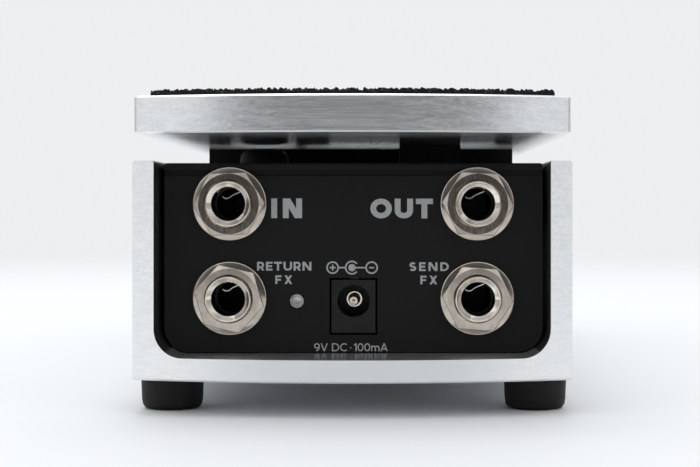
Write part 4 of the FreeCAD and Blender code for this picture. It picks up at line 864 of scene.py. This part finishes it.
finish_nodes(plastic, "power_inlet")
finish_nodes(zinc, "power_inlet_tabs")
pin_low, pin_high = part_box("power_inlet_pin")
pin_radius = (pin_high.x - pin_low.x) / 2
pin_length = pin_high.y - pin_low.y
pin_profile = [
    (0, 0),
    (pin_radius, 0),
    (pin_radius, pin_length - 0.30 * MM),
    (pin_radius - 0.10 * MM, pin_length - 0.12 * MM),
    (pin_radius - 0.26 * MM, pin_length),
    (pin_radius - 0.34 * MM, pin_length),
    (pin_radius - 0.38 * MM, pin_length - 1.2 * MM),
    (0.34 * MM, pin_length - 1.2 * MM),
    (0.30 * MM, pin_length - 0.25 * MM),
    (0.20 * MM, pin_length - 0.10 * MM),
    (0, pin_length - 0.06 * MM),
]
pin_seat = Vector(((pin_low.x + pin_high.x) / 2, pin_high.y, (pin_low.z + pin_high.z) / 2))
pin_mesh = settle([(turned(pin_profile, 48), [OUTWARD])], "power_pin", TURNED_CREASE)
# The pin takes the lighter nickel copy, a painted highlight on its tip.
piece("power_pin", pin_mesh, nickel_painted_highlight, "nickel_plate", "chassis", "power_inlet_pin", at=pin_seat)

collar_inside, collar_outside, collar_high = 1.25 * MM, 1.75 * MM, 0.8 * MM
rounded = 0.12 * MM
collar_profile = [
    (collar_inside, 0),
    (collar_inside, collar_high - rounded),
    (collar_inside + rounded, collar_high),
    (collar_outside - rounded, collar_high),
    (collar_outside, collar_high - rounded),
    (collar_outside, 0),
]
collar_shape = turned(collar_profile, 64, ring=True)
collar_mesh = settle([(collar_shape, [OUTWARD])], "power_collar", TURNED_CREASE)
# The collar takes the lighter nickel copy too, a painted highlight.
piece("power_collar", collar_mesh, nickel_painted_highlight, "nickel_plate", "chassis", at=pin_seat)

# ------------------------------------------------------------------------- status light
# A clear three-millimetre lamp, moulded round a small metal cup, looks out of a hole in the
# panel. It isn't lit.

lamp_low, lamp_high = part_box("status_light")
lamp_radius = 1.5 * MM
flange_radius = lamp_radius + 0.4 * MM
flange_high = 1.0 * MM
lamp_length = lamp_high.y - lamp_low.y
crown = [
    (lamp_radius * math.sin(angle), lamp_length - lamp_radius * (1 - math.cos(angle)))
    for angle in (math.radians(degrees) for degrees in range(90, 0, -10))
]
lamp_profile = [(0, 0), (flange_radius, 0), (flange_radius, flange_high), (lamp_radius, flange_high)]
lamp_profile += crown + [(0, lamp_length)]
lamp_seat = Vector(((lamp_low.x + lamp_high.x) / 2, lamp_high.y, (lamp_low.z + lamp_high.z) / 2))
clear_lamp, lamp_shader = new_finish(
    "clear_lamp", (0.66, 0.67, 0.68), roughness=0.08, Transmission_Weight=0.82, IOR=1.5
)
tree = clear_lamp.node_tree
haze = noise(tree, 2400, detail=3)
feed(tree, lamp_shader, Roughness=between(tree, haze, 0.04, 0.22))
relief(tree, lamp_shader, haze, 0.02 * MM, 0.2)
lamp_mesh = settle([(turned(lamp_profile, 64), [OUTWARD])], "lamp_lens", TURNED_CREASE)
piece("lamp_lens", lamp_mesh, clear_lamp, "clear_lamp", "chassis", "status_light", at=lamp_seat)
cup_profile = [
    (0, 0), (0.55 * MM, 0), (0.55 * MM, 2.9 * MM), (0.95 * MM, 3.6 * MM), (0.80 * MM, 3.6 * MM),
    (0.40 * MM, 3.1 * MM), (0, 3.1 * MM),
]
cup_mesh = settle([(turned(cup_profile, 40), [OUTWARD])], "lamp_cup", TURNED_CREASE)
piece("lamp_cup", cup_mesh, silver, "spring_silver", "chassis", at=lamp_seat)
finish_nodes(zinc, "light_leads")

# ------------------------------------------------------------------------ circuit board
# The board carries the jacks, the inlet and the lamp. It is green fibreglass with tinned
# tracks under its mask; two chips, three capacitors and a plug stand on it.

board_finish, board_shader = new_finish("circuit_board_green", (0.012, 0.09, 0.035), roughness=0.35)
tree = board_finish.node_tree
place = add(tree, "TexCoord").outputs["Object"]
turned_place = add(tree, "Mapping", {"Vector": place, "Rotation": (0, 0, math.radians(45))}).outputs[0]
cells = add(tree, "TexVoronoi", {"Vector": turned_place, "Scale": 230.0}, distance="CHEBYCHEV")
tracks = remap(tree, cells.outputs["Distance"], 0.30, 0.36)
weave = noise(tree, 1800, (1, 0.2, 1), 3)
green = tint(tree, tracks, (0.030, 0.19, 0.075), (0.010, 0.075, 0.030))
feed(tree, board_shader, Base_Color=green, Roughness=between(tree, weave, 0.25, 0.5))
relief(tree, board_shader, tracks, -0.04 * MM, 0.6)
finish_nodes(board_finish, "circuit_board")


def small_block(wide, long, high, bevel, at):
    """A small moulded or folded block with softened edges, its middle at a point; metres."""
    shape = bmesh.new()
    bmesh.ops.create_cube(shape, size=1.0)
    bmesh.ops.scale(shape, vec=(wide, long, high), verts=shape.verts)
    bmesh.ops.bevel(
        shape, geom=shape.edges[:], offset=bevel, segments=2, profile=0.6, affect="EDGES"
    )
    bmesh.ops.translate(shape, vec=at, verts=shape.verts)
    return shape


LEG_PITCH = 2.3 * MM
LEG_WIDTH = 0.45 * MM
board_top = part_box("circuit_board")[1].z
chip_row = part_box("in_jack_housing")[1].y + 8 * MM
dark_shapes, tin_shapes = [], []
for x in (-18 * MM, -2 * MM):
    middle = Vector((x, chip_row, board_top))
    chip_middle = middle + Vector((0, 0, 1.25 * MM))
    dark_shapes.append((small_block(9.8 * MM, 6.2 * MM, 1.7 * MM, 0.2 * MM, chip_middle), HERE))
    for column in (-1.5, -0.5, 0.5, 1.5):
        for side in (-1, 1):
            leg = middle + Vector((column * LEG_PITCH, side * 3.4 * MM, 0.7 * MM))
            foot = middle + Vector((column * LEG_PITCH, side * 3.75 * MM, 0.2 * MM))
            tin_shapes.append((small_block(LEG_WIDTH, 0.3 * MM, 1.3 * MM, 0.05 * MM, leg), HERE))
            tin_shapes.append((small_block(LEG_WIDTH, 0.6 * MM, 0.3 * MM, 0.05 * MM, foot), HERE))

can_profile = [
    (0, 0), (2.3 * MM, 0), (2.5 * MM, 0.3 * MM), (2.5 * MM, 0.9 * MM), (2.3 * MM, 1.3 * MM),
    (2.5 * MM, 1.7 * MM), (2.5 * MM, 7.6 * MM), (2.2 * MM, 8.0 * MM), (1.9 * MM, 7.85 * MM),
    (0, 7.85 * MM),
]
can_row = chip_row + 2 * MM
cans = [Matrix.Translation((x, can_row, board_top)) for x in (-28 * MM, 8 * MM)]
dark_shapes.append((turned(can_profile, 48), cans))

components_low, components_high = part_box("board_components")
film_middle = Vector((-3 * MM, components_low.y + 3.5 * MM, board_top + 3 * MM))
film = small_block(9.9 * MM, 6.9 * MM, 5.9 * MM, 0.5 * MM, film_middle)
plug_high = components_high.z - board_top
plug_middle = Vector((18.2 * MM, components_high.y - 3 * MM, board_top + plug_high / 2))
plug = small_block(7.9 * MM, 5.9 * MM, plug_high - 0.1 * MM, 0.3 * MM, plug_middle)
dark_shapes.append((plug, HERE))
piece(
    "board_chips_and_cans", settle(dark_shapes, "board_chips_and_cans"),
    plastic, "black_plastic", "chassis", "board_components",
)
piece("board_chip_legs", settle(tin_shapes, "board_chip_legs"), silver, "spring_silver", "chassis")
film_mesh = settle([(film, HERE)], "board_film_capacitor")
piece("board_film_capacitor", film_mesh, plastic, "black_plastic", "chassis")

# ----------------------------------------------------------------------- potentiometer
# A sealed potentiometer on a folded, black-coated angle. Its can is drawn steel, its neck
# and shaft are plated brass, and a three-core cable comes to it through a rubber ring.

coated = sprayed_black("black_coated_steel")
finish_nodes(coated, "pot_bracket")
finish_nodes(zinc, "pot_body", "pot_nut")
finish_nodes(nickel, "pot_bushing", "pot_shaft")
finish_nodes(plastic, "pot_terminals")
finish_nodes(rubber, "cable_grommet")
jacket = matt_rubber("cable_jacket", (0.075, 0.075, 0.08), (0.14, 0.14, 0.14), 0.8)
finish_nodes(jacket, "pot_cable")

# --------------------------------------------------------------------------------- gears
# The sector is cut from steel plate with its hub pressed in, and the pinion is turned brass.
# Each is locked to its shaft by a small headless screw.

brass = plated("pinion_brass", (0.42, 0.27, 0.10), (0.70, 0.50, 0.24), 0.2, 0.4)
finish_nodes(zinc, "sector_gear", "sector_set_screw", "pinion_set_screw")
finish_nodes(brass, "pinion")

# -------------------------------------------------------------------------------- pivot
# The treadle turns on a ground steel shaft in two oiled bronze bushes pressed into the walls;
# spring clips on the shaft keep the bracket in the middle.

ground = plated("ground_steel", (0.60, 0.60, 0.61), (0.84, 0.84, 0.85), 0.14, 0.3)
bronze = plated("bearing_bronze", (0.30, 0.17, 0.07), (0.60, 0.40, 0.20), 0.32, 0.5)
finish_nodes(ground, "pivot_shaft", "shaft_clips")
finish_nodes(bronze, "pivot_bushing_left", "pivot_bushing_right")

# --------------------------------------------------------------------- treadle bracket
# The treadle hangs on a folded steel bracket with a tab down each side, coated black and
# screwed up into the treadle's underside.

finish_nodes(coated, "treadle_bracket")

# --------------------------------------------------------------------------- grip sheet
# The tread is a sheet of coarse black mineral grit bonded to a thin backing. Every grain
# stands up by its own height, so its edge is ragged against the light.

GRAIN_PITCH = 0.72 * MM
COLUMNS = 260
TOE_ROWS = 26
TOE_BAND = 8 * MM
LENGTH_ROWS = 320
BACKING = 0.40 * MM
END_RADIUS = 132.4 * MM
GRAIN_SLOPE = 3.4
grip_low, grip_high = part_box("grip_sheet")
half_wide = grip_high.x
half_long = grip_high.y
sheet_top = grip_low.z + BACKING

spread = random.Random(7)
columns = np.linspace(-half_wide, half_wide, COLUMNS)
toe_rows = np.linspace(-half_long, -half_long + TOE_BAND, TOE_ROWS, endpoint=False)
rest_rows = np.linspace(-half_long + TOE_BAND, half_long, LENGTH_ROWS)
rows = np.concatenate([toe_rows, rest_rows])
plan_x, plan_row = np.meshgrid(columns, rows)
sag = END_RADIUS - np.sqrt(END_RADIUS**2 - plan_x**2)
plan_y = plan_row * (1 - sag / half_long)

cells_x = int(2 * half_wide / GRAIN_PITCH) + 3
cells_y = int(2 * half_long / GRAIN_PITCH) + 3
grains = np.array([
    [spread.random(), spread.random(), spread.uniform(0.45, 0.98), spread.random() ** 1.4,
     spread.uniform(-0.9, 0.9), spread.uniform(-0.9, 0.9)]
    for cell in range(cells_x * cells_y)
]).reshape(cells_y, cells_x, 6)
grid_x = (plan_x + half_wide) / GRAIN_PITCH + 1
grid_y = (plan_y + half_long) / GRAIN_PITCH + 1
height = np.zeros_like(plan_x)
for step_x in (-1, 0, 1):
    for step_y in (-1, 0, 1):
        cell_x = np.clip(np.floor(grid_x).astype(int) + step_x, 0, cells_x - 1)
        cell_y = np.clip(np.floor(grid_y).astype(int) + step_y, 0, cells_y - 1)
        grain = grains[cell_y, cell_x]
        away_x = grid_x - cell_x - grain[..., 0]
        away_y = grid_y - cell_y - grain[..., 1]
        away = np.hypot(away_x, away_y) / grain[..., 2]
        tilt = grain[..., 4] * away_x + grain[..., 5] * away_y
        flat_top = 0.12 + 0.95 * grain[..., 3] + 0.6 * tilt
        steep_side = GRAIN_SLOPE * (1 - away)
        height = np.maximum(height, np.minimum(flat_top, steep_side))
height = sheet_top + np.clip(height, 0, 1) * (grip_high.z - sheet_top)

grip_mesh = bpy.data.meshes.new("grit_sheet")
count_rows, count_columns = height.shape
top = np.stack([plan_x, plan_y, height], axis=-1).reshape(-1, 3)
rim = list(range(count_columns))
rim += [row * count_columns + count_columns - 1 for row in range(1, count_rows)]
rim += [(count_rows - 1) * count_columns + column for column in range(count_columns - 2, -1, -1)]
rim += [row * count_columns for row in range(count_rows - 2, 0, -1)]
skirt = top[rim].copy()
skirt[:, 2] = grip_low.z
corner = np.arange(count_rows - 1)[:, None] * count_columns + np.arange(count_columns - 1)
corner = corner.reshape(-1)
quads = [corner, corner + 1, corner + count_columns + 1, corner + count_columns]
quads = np.stack(quads, axis=-1).tolist()
below = list(range(len(top), len(top) + len(rim)))
for index, start in enumerate(rim):
    after = (index + 1) % len(rim)
    quads.append([start, below[index], below[after], rim[after]])
quads.append(below[::-1])
grip_mesh.from_pydata(np.concatenate([top, skirt]).tolist(), [], quads)
grip_mesh.shade_flat()

grit, grit_shader = new_finish(
    "grip_black", (0.004, 0.004, 0.004), roughness=0.55, Specular_IOR_Level=0.22
)
tree = grit.node_tree
sparkle = remap(tree, noise(tree, 2600, detail=5), 0.50, 0.72)
feed(
    tree, grit_shader,
    Base_Color=tint(tree, sparkle, (0.0025, 0.0025, 0.0027), (0.022, 0.022, 0.024)),
    Roughness=between(tree, noise(tree, 1400, detail=3), 0.35, 0.75),
)
relief(tree, grit_shader, noise(tree, 3800, detail=6), 0.12 * MM, 0.8)
piece("grit_sheet", grip_mesh, grit, "grip_black", "treadle", "grip_sheet")

# ------------------------------------------------------------------------------ bumpers
# Rubber stops on the lid and in the heel catch the treadle at each end of its travel. They
# are the same soft black compound as the feet, stuck down.

finish_nodes(rubber, "toe_bumpers", "heel_bumpers")
